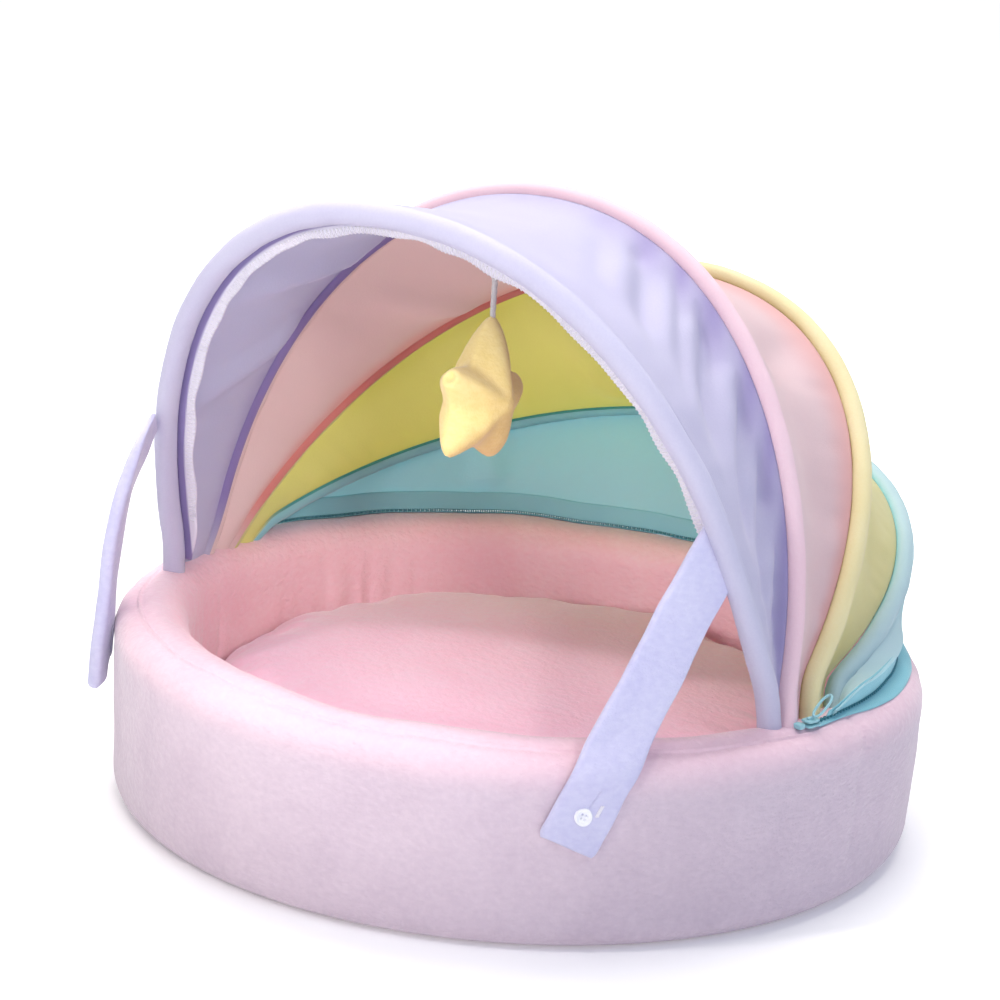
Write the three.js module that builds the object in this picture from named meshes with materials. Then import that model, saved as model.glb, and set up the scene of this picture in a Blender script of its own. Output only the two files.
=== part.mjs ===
// A round plush pet bed with a four-panel canopy on sewn-in hoops, a zip round the back and a hanging star.
// Millimetres, +Z up, the mouth faces -Y. The origin lies on the floor under the middle of the bed.
import * as THREE from "three";

const radians = THREE.MathUtils.degToRad;
const smooth = THREE.MathUtils.smoothstep;
const mix = THREE.MathUtils.lerp;

// Base: a round bowl of padded wall with a closed bottom
const BASE_RADIUS = 250;
const BASE_FOOT_RADIUS = 247.5;
const BASE_FOOT_ROUND = 16;
const BASE_SEGMENTS = 48;
const ARC_STEP = 18;
const RIM_HEIGHT = 117;
const RIM_OUTER_WIDTH = 24;
const RIM_INNER_WIDTH = 22;
const RIM_ROUND_HEIGHT = 20;
const RIM_TILT = 4;
const RIM_HIGH_SIDE = -140;
const FLOOR_THICKNESS = 12;
const CROWN_RADIUS = BASE_RADIUS - RIM_OUTER_WIDTH;
const WELL_RADIUS = CROWN_RADIUS - RIM_INNER_WIDTH;

// Seat cushion: a filled round pad with a crown and drawn-in sides
const CUSHION_CLEARANCE = 0.8;
const CUSHION_RADIUS = WELL_RADIUS - CUSHION_CLEARANCE;
const CUSHION_SEAM_HEIGHT = 42;
const CUSHION_FOOT_RADIUS = 176;
const CUSHION_EDGE_HEIGHT = 70;
const CUSHION_EDGE_RADIUS = 186;
const CUSHION_CROWN_HEIGHT = 86;

// Cloth and clearances
const GAP = 0.4;
const SURFACE_GAP = 0.6;
const SEAM_GAP = 0.8;
const CLOTH = 2;
const TAPE_CLOTH = 1.2;
const STRAP_CLOTH = 2;

// Ribs: hoops in cloth casings. Their ends stand on the rim, foot away from the bed's axis, at leftY and
// rightY. The plane leans from the mouth (0 lies forward, 90 is upright, 180 lies back), rise is measured in
// that plane, and fullness squares the arch.
const RIB_STEPS = 36;
const RIB_SIDES = 8;
const RIBS = {
  front: { foot: 222, leftY: -90, rightY: -66, lean: 73, rise: 274, fullness: 2.16, casing: 7 },
  pink: { foot: 219, leftY: -46, rightY: -48, lean: 102.8, rise: 266, fullness: 2.08, casing: 6 },
  yellow: { foot: 216, leftY: -26, rightY: -30, lean: 136.5, rise: 281, fullness: 2.12, casing: 6 },
  blue: { foot: 217, leftY: -6, rightY: -10, lean: 165, rise: 294, fullness: 2.08, casing: 6 },
};

// Panels: each leaves its first rib on the outside and tucks under the next, its slack cloth sagging inward.
// sag is a share of the span between the ribs, lift and tuck are millimetres off the ribs' middles.
const PANEL_ENDS = 0.024;
const PANEL_STEPS_ALONG = 36;
const PANEL_STEPS_ACROSS = 8;
const CANOPY_HEART = new THREE.Vector3(0, 30, 140);
const PANELS = {
  lavender: { from: "front", to: "pink", sag: 0.075, lift: 3, tuck: 3 },
  pink: { from: "pink", to: "yellow", sag: 0.085, lift: 3, tuck: 4 },
  yellow: { from: "yellow", to: "blue", sag: 0.1, lift: 3, tuck: 4 },
  blue: { from: "blue", to: "zip", sag: 0.06, lift: 2, tuck: 0 },
};

// Folds, a row each: along is the place on the ribs (0 left foot, 1 right foot), across runs from the first
// rib to the next, width and depth are millimetres, slant moves the fold along as it goes across, and reach
// is the share across over which it dies away. All die away at the seams, and where the ribs draw together.
const FOLD_SEAM_RATE = 1.6;
const FOLD_NO_SPAN = 5;
const FOLD_FULL_SPAN = 60;
const FOLDS = {
  lavender: [
    { along: 0.645, across: 1.0, width: 11, depth: 5, slant: -0.09, reach: 0.5 },
    { along: 0.7, across: 1.0, width: 10, depth: 6, slant: -0.1, reach: 0.55 },
    { along: 0.75, across: 1.0, width: 10, depth: 6, slant: -0.1, reach: 0.6 },
    { along: 0.8, across: 1.0, width: 9, depth: 5, slant: -0.09, reach: 0.6 },
    { along: 0.33, across: 0.9, width: 14, depth: 4, slant: 0.1, reach: 0.6 },
    { along: 0.22, across: 0.9, width: 13, depth: 4, slant: 0.1, reach: 0.6 },
  ],
  pink: [
    { along: 0.66, across: 0.7, width: 15, depth: 4, slant: -0.06, reach: 0.45 },
    { along: 0.3, across: 0.7, width: 15, depth: 4, slant: 0.06, reach: 0.45 },
  ],
  yellow: [
    { along: 0.6, across: 0.7, width: 15, depth: 4, slant: -0.05, reach: 0.45 },
    { along: 0.38, across: 0.7, width: 15, depth: 4, slant: 0.05, reach: 0.45 },
  ],
  blue: [
    { along: 0.72, across: 0.6, width: 13, depth: 3, slant: -0.03, reach: 0.5 },
    { along: 0.5, across: 0.6, width: 15, depth: 3, slant: 0.0, reach: 0.5 },
    { along: 0.28, across: 0.6, width: 13, depth: 3, slant: 0.03, reach: 0.5 },
  ],
};

// Zip round the back of the rim
const ZIP_RADIUS = 231.2;
const ZIP_RIGHT = -7;
const ZIP_LEFT = 189;
const ZIP_STEPS = 40;
const COIL_RADIUS = 1.6;
const COIL_SIDES = 6;
const LOWER_TAPE_INNER = 233.6;
const LOWER_TAPE_OUTER = 240.5;
const UPPER_TAPE_RIGHT = -2;
const UPPER_TAPE_LEFT = 184;
const UPPER_TAPE_FOOT = 4.6;
const UPPER_TAPE_HEIGHT = 10;
const UPPER_TAPE_FLARE = 1.5;
const SLIDER_AT = -9.6;
const SLIDER_LENGTH = 10;
const SLIDER_WIDTH = 8;
const SLIDER_HEIGHT = 4;
const SLIDER_TAIL = 0.7;
const SLIDER_NOSE = 0.6;
const SLIDER_BEVEL = 0.8;
const PULL_LENGTH = 20;
const PULL_WIDTH = 7;
const PULL_THICKNESS = 1.6;
const PULL_WALL = 1.6;
const PULL_RISE = 38;
const PULL_OUT = 2.6;
const PULL_LIFT = 2.2;
const PULL_SEGMENTS = 5;

// Straps, a row for each station down the strap: distance from the bed's axis, angle round it and height
const STRAP_WIDTH = 34;
const STRAP_STEPS_ALONG = 22;
const STRAP_STEPS_ACROSS = 4;
const STRAPS = {
  right: [
    { radius: 210, angle: -27.9, height: 229 },
    { radius: 219, angle: -31.2, height: 204 },
    { radius: 231, angle: -36.8, height: 166 },
    { radius: 243, angle: -41.7, height: 130 },
    { radius: onWall(104), angle: -44.8, height: 104 },
    { radius: onWall(82), angle: -47, height: 82 },
    { radius: onWall(62), angle: -48.8, height: 62 },
  ],
  left: [
    { radius: 224, angle: 218.2, height: 225 },
    { radius: 238, angle: 219, height: 211 },
    { radius: 250, angle: 219.8, height: 188 },
    { radius: 255.5, angle: 220.6, height: 156 },
    { radius: 256.5, angle: 220.6, height: 122 },
    { radius: onWall(90) + 1, angle: 220.6, height: 90 },
    { radius: onWall(60), angle: 220.6, height: 60 },
  ],
};

// Buttons that hold the straps to the wall
const BUTTON_RADIUS = 5.6;
const BUTTON_THICKNESS = 2.4;
const BUTTON_EDGE = 1;
const BUTTON_RIM = 1.6;
const BUTTON_DISH = 0.8;
const BUTTON_SEGMENTS = 16;
const BUTTON_PLACES = { right: 0.89, left: 0.89 };

// Star on its cord, in the plane that looks to the sides
const STAR_ALONG = 0.5;
const STAR_ACROSS = 0.6;
const STAR_TOP_HEIGHT = 312;
const STAR_POINT = 46;
const STAR_NECK = 30;
const STAR_DEPTH = 21;
const STAR_POINTS = 5;
const STAR_SHARPNESS = 1.3;
const STAR_FULLNESS = 0.8;
const STAR_LEAN = -10;
const STAR_STEPS_ROUND = 40;
const STAR_STEPS_DEEP = 8;
const CORD_RADIUS = 1.8;
const CORD_SIDES = 8;
const CORD_STEPS = 8;

// Colours by node, and the shine of plush and of plastic
const COLOURS = {
  bed_base: 0xf3d9e4,
  seat_cushion: 0xf7c6cc,
  rib_front: 0xdcd8f0,
  rib_pink: 0xf7d3e0,
  rib_yellow: 0xf3e3a6,
  rib_blue: 0xbfdde2,
  panel_lavender: 0xdcdaf1,
  panel_pink: 0xf5dde4,
  panel_yellow: 0xe9dfa8,
  panel_blue: 0xbcd9de,
  zip_tape_lower: 0x93d0dc,
  zip_tape_upper: 0x93d0dc,
  zip_coil: 0x3f8f98,
  zip_slider: 0x9fd3d8,
  zip_pull: 0xb5dde0,
  strap_right: 0xd9d6ef,
  strap_left: 0xd9d6ef,
  button_right: 0xf6f6f4,
  button_left: 0xf6f6f4,
  star_toy: 0xf3dd98,
  star_cord: 0xc9c6c6,
};
const CLOTH_ROUGHNESS = 0.9;
const PLASTIC_ROUGHNESS = 0.4;

const bed = new THREE.Group();

function addMesh(name, geometry, roughness = CLOTH_ROUGHNESS) {
  const material = new THREE.MeshStandardMaterial({ color: COLOURS[name], roughness, metalness: 0 });
  const mesh = new THREE.Mesh(geometry, material);
  mesh.name = name;
  bed.add(mesh);
  return mesh;
}

// Distance from the axis of a strap's middle where it lies on the outer wall
function onWall(height) {
  const share = (height - BASE_FOOT_ROUND) / (RIM_HEIGHT - RIM_ROUND_HEIGHT - BASE_FOOT_ROUND);
  return mix(BASE_FOOT_RADIUS, BASE_RADIUS, Math.min(share, 1)) + SURFACE_GAP + STRAP_CLOTH / 2;
}

// A point from distance, angle in degrees and height about the bed's axis
function polar(radius, angle, height) {
  const turn = radians(angle);
  return new THREE.Vector3(radius * Math.cos(turn), radius * Math.sin(turn), height);
}

// How much higher the soft rim stands at an angle round the bed
function rimRise(angle) {
  return RIM_TILT * Math.cos(radians(angle - RIM_HIGH_SIDE));
}

// Height of the rim's top surface at a distance from the axis and an angle
function rimHeight(radius, angle) {
  const width = radius > CROWN_RADIUS ? RIM_OUTER_WIDTH : RIM_INNER_WIDTH;
  const share = Math.min(Math.abs(radius - CROWN_RADIUS) / width, 1);
  return RIM_HEIGHT - RIM_ROUND_HEIGHT * (1 - Math.sqrt(1 - share * share)) + rimRise(angle);
}

// A closed sheet of cloth around a middle surface given over two shares from 0 to 1
function clothSheet(stepsAlong, stepsAcross, thickness, pointAt) {
  const columns = stepsAcross + 1;
  const middle = [];
  for (let i = 0; i <= stepsAlong; i++) {
    for (let j = 0; j <= stepsAcross; j++) {
      middle.push(pointAt(i / stepsAlong, j / stepsAcross));
    }
  }
  const at = (i, j) => middle[
    THREE.MathUtils.clamp(i, 0, stepsAlong) * columns + THREE.MathUtils.clamp(j, 0, stepsAcross)
  ];
  const front = [];
  const back = [];
  for (let i = 0; i <= stepsAlong; i++) {
    for (let j = 0; j <= stepsAcross; j++) {
      const along = at(i + 1, j).clone().sub(at(i - 1, j));
      const across = at(i, j + 1).clone().sub(at(i, j - 1));
      const normal = along.cross(across).normalize().multiplyScalar(thickness / 2);
      front.push(...at(i, j).clone().add(normal).toArray());
      back.push(...at(i, j).clone().sub(normal).toArray());
    }
  }
  const behind = middle.length;
  const faces = [];
  const quad = (a, b, c, d) => faces.push(a, b, c, a, c, d);
  for (let i = 0; i < stepsAlong; i++) {
    for (let j = 0; j < stepsAcross; j++) {
      const a = i * columns + j;
      quad(a, a + columns, a + columns + 1, a + 1);
      quad(behind + a, behind + a + 1, behind + a + columns + 1, behind + a + columns);
    }
  }
  const rim = [];
  for (let j = 0; j < stepsAcross; j++) rim.push(j);
  for (let i = 0; i < stepsAlong; i++) rim.push(i * columns + stepsAcross);
  for (let j = stepsAcross; j > 0; j--) rim.push(stepsAlong * columns + j);
  for (let i = stepsAlong; i > 0; i--) rim.push(i * columns);
  rim.forEach((a, k) => {
    const b = rim[(k + 1) % rim.length];
    quad(a, b, behind + b, behind + a);
  });
  const geometry = new THREE.BufferGeometry();
  geometry.setAttribute("position", new THREE.Float32BufferAttribute([...front, ...back], 3));
  geometry.setIndex(faces);
  geometry.computeVertexNormals();
  return geometry;
}

// A round tube along a curve
function tube(curve, radius, sides, steps) {
  const section = new THREE.Shape().absarc(0, 0, radius, 0, 2 * Math.PI);
  return new THREE.ExtrudeGeometry(section, {
    steps,
    curveSegments: sides / 2,
    bevelEnabled: false,
    extrudePath: curve,
  });
}

// Profile points along an ellipse between two angles
function roundStretch(x, y, width, height, from, to) {
  const points = [];
  const steps = Math.abs(to - from) / ARC_STEP;
  for (let k = 0; k <= steps; k++) {
    const turn = radians(mix(from, to, k / steps));
    points.push(new THREE.Vector2(x + width * Math.cos(turn), y + height * Math.sin(turn)));
  }
  return points;
}

// A turned solid with its axis upright
function turned(profile, segments) {
  return new THREE.LatheGeometry(profile, segments).rotateX(Math.PI / 2);
}

// Base bowl, its rim a little higher on one side
function baseGeometry() {
  const shoulder = RIM_HEIGHT - RIM_ROUND_HEIGHT;
  const foot = BASE_FOOT_RADIUS - BASE_FOOT_ROUND;
  const profile = [
    new THREE.Vector2(0, 0),
    ...roundStretch(foot, BASE_FOOT_ROUND, BASE_FOOT_ROUND, BASE_FOOT_ROUND, -90, 0),
    ...roundStretch(CROWN_RADIUS, shoulder, RIM_OUTER_WIDTH, RIM_ROUND_HEIGHT, 0, 90),
    ...roundStretch(CROWN_RADIUS, shoulder, RIM_INNER_WIDTH, RIM_ROUND_HEIGHT, 90, 180).slice(1),
    new THREE.Vector2(WELL_RADIUS, FLOOR_THICKNESS),
    new THREE.Vector2(0, FLOOR_THICKNESS),
  ];
  const geometry = turned(profile, BASE_SEGMENTS);
  const place = geometry.attributes.position;
  for (let k = 0; k < place.count; k++) {
    const angle = THREE.MathUtils.radToDeg(Math.atan2(place.getY(k), place.getX(k)));
    const share = smooth(place.getZ(k), FLOOR_THICKNESS, shoulder);
    place.setZ(k, place.getZ(k) + share * rimRise(angle));
  }
  return geometry;
}

function cushionGeometry() {
  const bottom = FLOOR_THICKNESS + GAP;
  const profile = [
    new THREE.Vector2(0, bottom),
    ...roundStretch(
      CUSHION_FOOT_RADIUS, CUSHION_SEAM_HEIGHT,
      CUSHION_RADIUS - CUSHION_FOOT_RADIUS, CUSHION_SEAM_HEIGHT - bottom, -90, 0,
    ),
    ...roundStretch(
      CUSHION_EDGE_RADIUS, CUSHION_SEAM_HEIGHT,
      CUSHION_RADIUS - CUSHION_EDGE_RADIUS, CUSHION_EDGE_HEIGHT - CUSHION_SEAM_HEIGHT, 0, 90,
    ).slice(1),
    ...roundStretch(
      0, CUSHION_EDGE_HEIGHT,
      CUSHION_EDGE_RADIUS, CUSHION_CROWN_HEIGHT - CUSHION_EDGE_HEIGHT, 0, 90,
    ).slice(1),
  ];
  profile[profile.length - 1].x = 0;
  return turned(profile, BASE_SEGMENTS);
}

// A rib's middle line: an arch of sine and cosine powers in a leaning plane
class RibCurve extends THREE.Curve {
  constructor(rib) {
    super();
    const lean = radians(rib.lean);
    const stand = (y, side) => {
      const x = side * Math.sqrt(rib.foot ** 2 - y ** 2);
      const angle = THREE.MathUtils.radToDeg(Math.atan2(y, x));
      const tip = rib.casing * Math.abs(Math.cos(lean));
      return new THREE.Vector3(x, y, rimHeight(rib.foot, angle) + SURFACE_GAP + tip);
    };
    this.left = stand(rib.leftY, -1);
    this.right = stand(rib.rightY, 1);
    this.power = 2 / rib.fullness;
    this.up = new THREE.Vector3(0, -Math.cos(lean), Math.sin(lean)).multiplyScalar(rib.rise);
  }

  getPoint(share, target = new THREE.Vector3()) {
    const turn = Math.PI * THREE.MathUtils.clamp(share, 0, 1);
    const side = -Math.sign(Math.cos(turn)) * Math.abs(Math.cos(turn)) ** this.power;
    const height = Math.abs(Math.sin(turn)) ** this.power;
    return target.lerpVectors(this.left, this.right, (side + 1) / 2).addScaledVector(this.up, height);
  }
}

// The top edge of the zip's upper tape, from the left end round the back to the right
class TapeTopCurve extends THREE.Curve {
  getPoint(share, target = new THREE.Vector3()) {
    const angle = mix(UPPER_TAPE_LEFT, UPPER_TAPE_RIGHT, share);
    return target.copy(upperTapePoint(angle, 1));
  }
}

// A point on the upper tape, share 0 at the coil and 1 at the panel's edge
function upperTapePoint(angle, share) {
  const height = rimHeight(ZIP_RADIUS, angle) + UPPER_TAPE_FOOT + UPPER_TAPE_HEIGHT * share;
  return polar(ZIP_RADIUS + UPPER_TAPE_FLARE * share, angle, height);
}

const ribCurves = { zip: new TapeTopCurve() };
for (const [name, rib] of Object.entries(RIBS)) {
  ribCurves[name] = new RibCurve(rib);
}

// How far the folds of a panel push inward at a place on it
function foldDepth(name, along, across, length) {
  let depth = 0;
  for (const fold of FOLDS[name]) {
    const centre = fold.along + fold.slant * (across - fold.across);
    const off = ((along - centre) * length) / fold.width;
    const fade = (across - fold.across) / fold.reach;
    depth += fold.depth * Math.exp(-off * off - fade * fade);
  }
  return depth;
}

// A point on a panel's middle surface: the straight span between two ribs, sagged and folded inward
function panelPoint(name, along, across) {
  const panel = PANELS[name];
  const first = ribCurves[panel.from];
  const next = ribCurves[panel.to];
  const start = first.getPointAt(along);
  const span = next.getPointAt(along).sub(start);
  const length = span.length();
  span.normalize();
  const inward = span.clone().cross(first.getTangentAt(along));
  const startReach = clearReach(RIBS[panel.from].casing, panel.lift) / inward.length();
  const squareness = span.clone().cross(next.getTangentAt(along)).length();
  const casing = panel.to === "zip" ? TAPE_CLOTH : RIBS[panel.to].casing;
  const endReach = clearReach(casing, panel.tuck) / squareness;
  inward.normalize();
  if (inward.dot(CANOPY_HEART.clone().sub(start)) < 0) inward.negate();
  const onSpan = mix(startReach, length - endReach, across);
  const ends = Math.sin(Math.PI * across);
  const width = length - startReach - endReach;
  const seamFade = Math.min(1, ends * FOLD_SEAM_RATE);
  const spanFade = smooth(width, FOLD_NO_SPAN, FOLD_FULL_SPAN);
  const folds = foldDepth(name, along, across, first.getLength()) * seamFade * spanFade;
  const drop = mix(-panel.lift, panel.tuck, smooth(across, 0, 1)) + panel.sag * width * ends + folds;
  return start.addScaledVector(span, onSpan).addScaledVector(inward, drop);
}

// How far along the span a sheet that leaves a casing off its middle has to start, to stay clear of it
function clearReach(casing, offset) {
  const inner = Math.max(Math.abs(offset) - CLOTH / 2, 0);
  return Math.sqrt((casing + SEAM_GAP) ** 2 - inner ** 2);
}

function panelGeometry(name) {
  return clothSheet(PANEL_STEPS_ALONG, PANEL_STEPS_ACROSS, CLOTH, (along, across) =>
    panelPoint(name, mix(PANEL_ENDS, 1 - PANEL_ENDS, along), across),
  );
}

// The zip's parts
function lowerTapeGeometry() {
  return clothSheet(ZIP_STEPS, 2, TAPE_CLOTH, (along, across) => {
    const angle = mix(ZIP_RIGHT, ZIP_LEFT, along);
    const radius = mix(LOWER_TAPE_INNER, LOWER_TAPE_OUTER, across);
    return polar(radius, angle, rimHeight(radius, angle) + SURFACE_GAP + TAPE_CLOTH);
  });
}

function upperTapeGeometry() {
  return clothSheet(ZIP_STEPS, 2, TAPE_CLOTH, (along, across) =>
    upperTapePoint(mix(UPPER_TAPE_RIGHT, UPPER_TAPE_LEFT, along), across),
  );
}

function coilGeometry() {
  const path = [];
  for (let k = 0; k <= ZIP_STEPS; k++) {
    const angle = mix(ZIP_RIGHT, ZIP_LEFT, k / ZIP_STEPS);
    path.push(polar(ZIP_RADIUS, angle, rimHeight(ZIP_RADIUS, angle) + SURFACE_GAP + COIL_RADIUS));
  }
  return tube(new THREE.CatmullRomCurve3(path), COIL_RADIUS, COIL_SIDES, ZIP_STEPS);
}

// A frame that lies on the zip line, X along the zip to the back, Y toward the bed's axis, Z up
function zipFrame(angle, lift) {
  const frame = new THREE.Group();
  frame.position.copy(polar(ZIP_RADIUS, angle, rimHeight(ZIP_RADIUS, angle) + lift));
  frame.rotation.z = radians(angle + 90);
  return frame;
}

function addSlider() {
  const body = new THREE.Shape();
  const half = SLIDER_LENGTH / 2;
  const side = SLIDER_WIDTH / 2;
  body.moveTo(-half, -side * SLIDER_TAIL);
  body.lineTo(0, -side);
  body.lineTo(half, -side * SLIDER_NOSE);
  body.lineTo(half, side * SLIDER_NOSE);
  body.lineTo(0, side);
  body.lineTo(-half, side * SLIDER_TAIL);
  body.closePath();
  const slider = new THREE.ExtrudeGeometry(body, {
    depth: SLIDER_HEIGHT - 2 * SLIDER_BEVEL,
    bevelThickness: SLIDER_BEVEL,
    bevelSize: SLIDER_BEVEL,
    bevelOffset: -SLIDER_BEVEL,
    bevelSegments: 1,
  });
  const frame = zipFrame(SLIDER_AT, SURFACE_GAP + SLIDER_BEVEL);
  frame.add(addMesh("zip_slider", slider, PLASTIC_ROUGHNESS));
  bed.add(frame);
}

function addPull() {
  const straight = PULL_LENGTH - PULL_WIDTH;
  const oval = (shape, radius) => {
    shape.absarc(0, 0, radius, Math.PI / 2, 1.5 * Math.PI, false);
    shape.absarc(straight, 0, radius, -Math.PI / 2, Math.PI / 2, false);
    return shape;
  };
  const ring = oval(new THREE.Shape(), PULL_WIDTH / 2);
  ring.holes.push(oval(new THREE.Path(), PULL_WIDTH / 2 - PULL_WALL));
  const pull = new THREE.ExtrudeGeometry(ring, {
    depth: PULL_THICKNESS,
    curveSegments: PULL_SEGMENTS,
    bevelEnabled: false,
  });
  const frame = zipFrame(SLIDER_AT, SURFACE_GAP + SLIDER_HEIGHT + GAP + PULL_LIFT);
  const mesh = addMesh("zip_pull", pull, PLASTIC_ROUGHNESS);
  mesh.position.y = -PULL_OUT;
  mesh.rotation.y = -radians(PULL_RISE);
  frame.add(mesh);
  bed.add(frame);
}

// Straps follow a smooth line through their stations, with their width square to it round the bed
function strapCurve(stations) {
  return new THREE.CatmullRomCurve3(
    stations.map((row) => new THREE.Vector3(row.radius, radians(row.angle) * BASE_RADIUS, row.height)),
    false,
    "centripetal",
  );
}

function strapPoint(curve, along, across) {
  const place = curve.getPointAt(along);
  const way = curve.getTangentAt(along);
  const slope = Math.atan2(way.y, -way.z);
  const offset = (across - 0.5) * STRAP_WIDTH;
  const round = place.y / BASE_RADIUS + (offset * Math.cos(slope)) / place.x;
  const turn = THREE.MathUtils.radToDeg(round);
  return polar(place.x, turn, place.z + offset * Math.sin(slope));
}

function addStrap(side) {
  const curve = strapCurve(STRAPS[side]);
  const sheet = clothSheet(STRAP_STEPS_ALONG, STRAP_STEPS_ACROSS, STRAP_CLOTH, (along, across) =>
    strapPoint(curve, along, across),
  );
  addMesh("strap_" + side, sheet);
  const place = strapPoint(curve, BUTTON_PLACES[side], 0.5);
  const out = new THREE.Vector3(place.x, place.y, 0).normalize();
  const profile = [
    new THREE.Vector2(0, 0),
    new THREE.Vector2(BUTTON_RADIUS - BUTTON_EDGE, 0),
    new THREE.Vector2(BUTTON_RADIUS, BUTTON_EDGE),
    new THREE.Vector2(BUTTON_RADIUS - BUTTON_EDGE / 2, BUTTON_THICKNESS),
    new THREE.Vector2(BUTTON_RADIUS - BUTTON_RIM, BUTTON_THICKNESS),
    new THREE.Vector2(BUTTON_RADIUS - BUTTON_RIM * 1.5, BUTTON_THICKNESS - BUTTON_DISH),
    new THREE.Vector2(0, BUTTON_THICKNESS - BUTTON_DISH),
  ];
  const button = addMesh("button_" + side, turned(profile, BUTTON_SEGMENTS), PLASTIC_ROUGHNESS);
  button.quaternion.setFromUnitVectors(new THREE.Vector3(0, 0, 1), out);
  button.position.copy(place).addScaledVector(out, STRAP_CLOTH / 2 + SURFACE_GAP);
}

// Star: its outline swells and narrows five times round, and it is plump from front to back
function starGeometry() {
  const points = [];
  const faces = [];
  for (let j = 1; j < STAR_STEPS_DEEP; j++) {
    const deep = radians(-90 + (180 * j) / STAR_STEPS_DEEP);
    for (let i = 0; i < STAR_STEPS_ROUND; i++) {
      const turn = (2 * Math.PI * i) / STAR_STEPS_ROUND;
      const swell = ((1 + Math.cos(STAR_POINTS * turn)) / 2) ** STAR_SHARPNESS;
      const reach = mix(STAR_NECK, STAR_POINT, swell) * Math.cos(deep) ** STAR_FULLNESS;
      const height = reach * Math.cos(turn) - STAR_POINT;
      points.push(STAR_DEPTH * Math.sin(deep), reach * Math.sin(turn), height);
    }
  }
  const rows = STAR_STEPS_DEEP - 1;
  const backPole = rows * STAR_STEPS_ROUND;
  const frontPole = backPole + 1;
  points.push(-STAR_DEPTH, 0, -STAR_POINT, STAR_DEPTH, 0, -STAR_POINT);
  for (let i = 0; i < STAR_STEPS_ROUND; i++) {
    const next = (i + 1) % STAR_STEPS_ROUND;
    const last = (rows - 1) * STAR_STEPS_ROUND;
    faces.push(backPole, i, next, frontPole, last + next, last + i);
    for (let j = 0; j < rows - 1; j++) {
      const a = j * STAR_STEPS_ROUND + i;
      const b = j * STAR_STEPS_ROUND + next;
      faces.push(a, a + STAR_STEPS_ROUND, b + STAR_STEPS_ROUND, a, b + STAR_STEPS_ROUND, b);
    }
  }
  const geometry = new THREE.BufferGeometry();
  geometry.setAttribute("position", new THREE.Float32BufferAttribute(points, 3));
  geometry.setIndex(faces);
  geometry.computeVertexNormals();
  return geometry;
}

function addStar() {
  const hold = panelPoint("lavender", STAR_ALONG, STAR_ACROSS);
  const star = addMesh("star_toy", starGeometry());
  star.position.set(hold.x, hold.y, STAR_TOP_HEIGHT);
  star.rotation.x = radians(STAR_LEAN);
  const top = hold.clone();
  top.z -= CLOTH / 2 + GAP;
  const end = new THREE.Vector3(hold.x, hold.y, STAR_TOP_HEIGHT + GAP);
  const cord = tube(new THREE.LineCurve3(top, end), CORD_RADIUS, CORD_SIDES, CORD_STEPS);
  addMesh("star_cord", cord);
}

addMesh("bed_base", baseGeometry());
addMesh("seat_cushion", cushionGeometry());
for (const [name, rib] of Object.entries(RIBS)) {
  addMesh("rib_" + name, tube(ribCurves[name], rib.casing, RIB_SIDES, RIB_STEPS));
}
for (const name of Object.keys(PANELS)) {
  addMesh("panel_" + name, panelGeometry(name));
}
addMesh("zip_tape_lower", lowerTapeGeometry());
addMesh("zip_tape_upper", upperTapeGeometry());
addMesh("zip_coil", coilGeometry(), PLASTIC_ROUGHNESS);
addSlider();
addPull();
addStrap("right");
addStrap("left");
addStar();

export default bed;
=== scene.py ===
# A round plush pet bed with a cloth canopy on ribs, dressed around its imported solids.
# Named sizes and surface functions are in millimetres, and put_piece turns them to Blender's metres.
import math

import bmesh
import bpy
import numpy as np
from mathutils import Matrix, Vector


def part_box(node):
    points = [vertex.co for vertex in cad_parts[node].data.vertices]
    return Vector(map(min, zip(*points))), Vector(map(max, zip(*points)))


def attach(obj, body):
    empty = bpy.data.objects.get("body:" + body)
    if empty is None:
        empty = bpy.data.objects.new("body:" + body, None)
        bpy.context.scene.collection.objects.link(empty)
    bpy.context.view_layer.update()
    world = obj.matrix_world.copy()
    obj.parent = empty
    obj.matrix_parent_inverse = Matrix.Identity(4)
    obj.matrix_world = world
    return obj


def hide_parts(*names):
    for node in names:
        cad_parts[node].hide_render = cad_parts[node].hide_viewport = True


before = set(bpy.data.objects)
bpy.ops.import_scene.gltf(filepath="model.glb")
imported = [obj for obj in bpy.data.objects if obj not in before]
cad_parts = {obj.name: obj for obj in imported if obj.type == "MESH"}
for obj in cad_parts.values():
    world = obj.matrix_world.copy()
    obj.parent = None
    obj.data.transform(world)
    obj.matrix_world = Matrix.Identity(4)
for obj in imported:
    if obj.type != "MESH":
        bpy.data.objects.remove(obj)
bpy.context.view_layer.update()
SCENE = bpy.context.scene
MM = 0.001
BODY = "root"
UP = np.array([0, 0, 1.0])

# Camera at the photograph's angle
CAMERA_AZIMUTH = 34.5
CAMERA_ELEVATION = 15.13
CAMERA_ROLL = 3.81
CAMERA_DISTANCE = 1800
CAMERA_AIM_HEIGHT = 189.5
CAMERA_AIM_SIDE = -17.8
CAMERA_LENS = 105.76
CAMERA_SENSOR = 36

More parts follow.
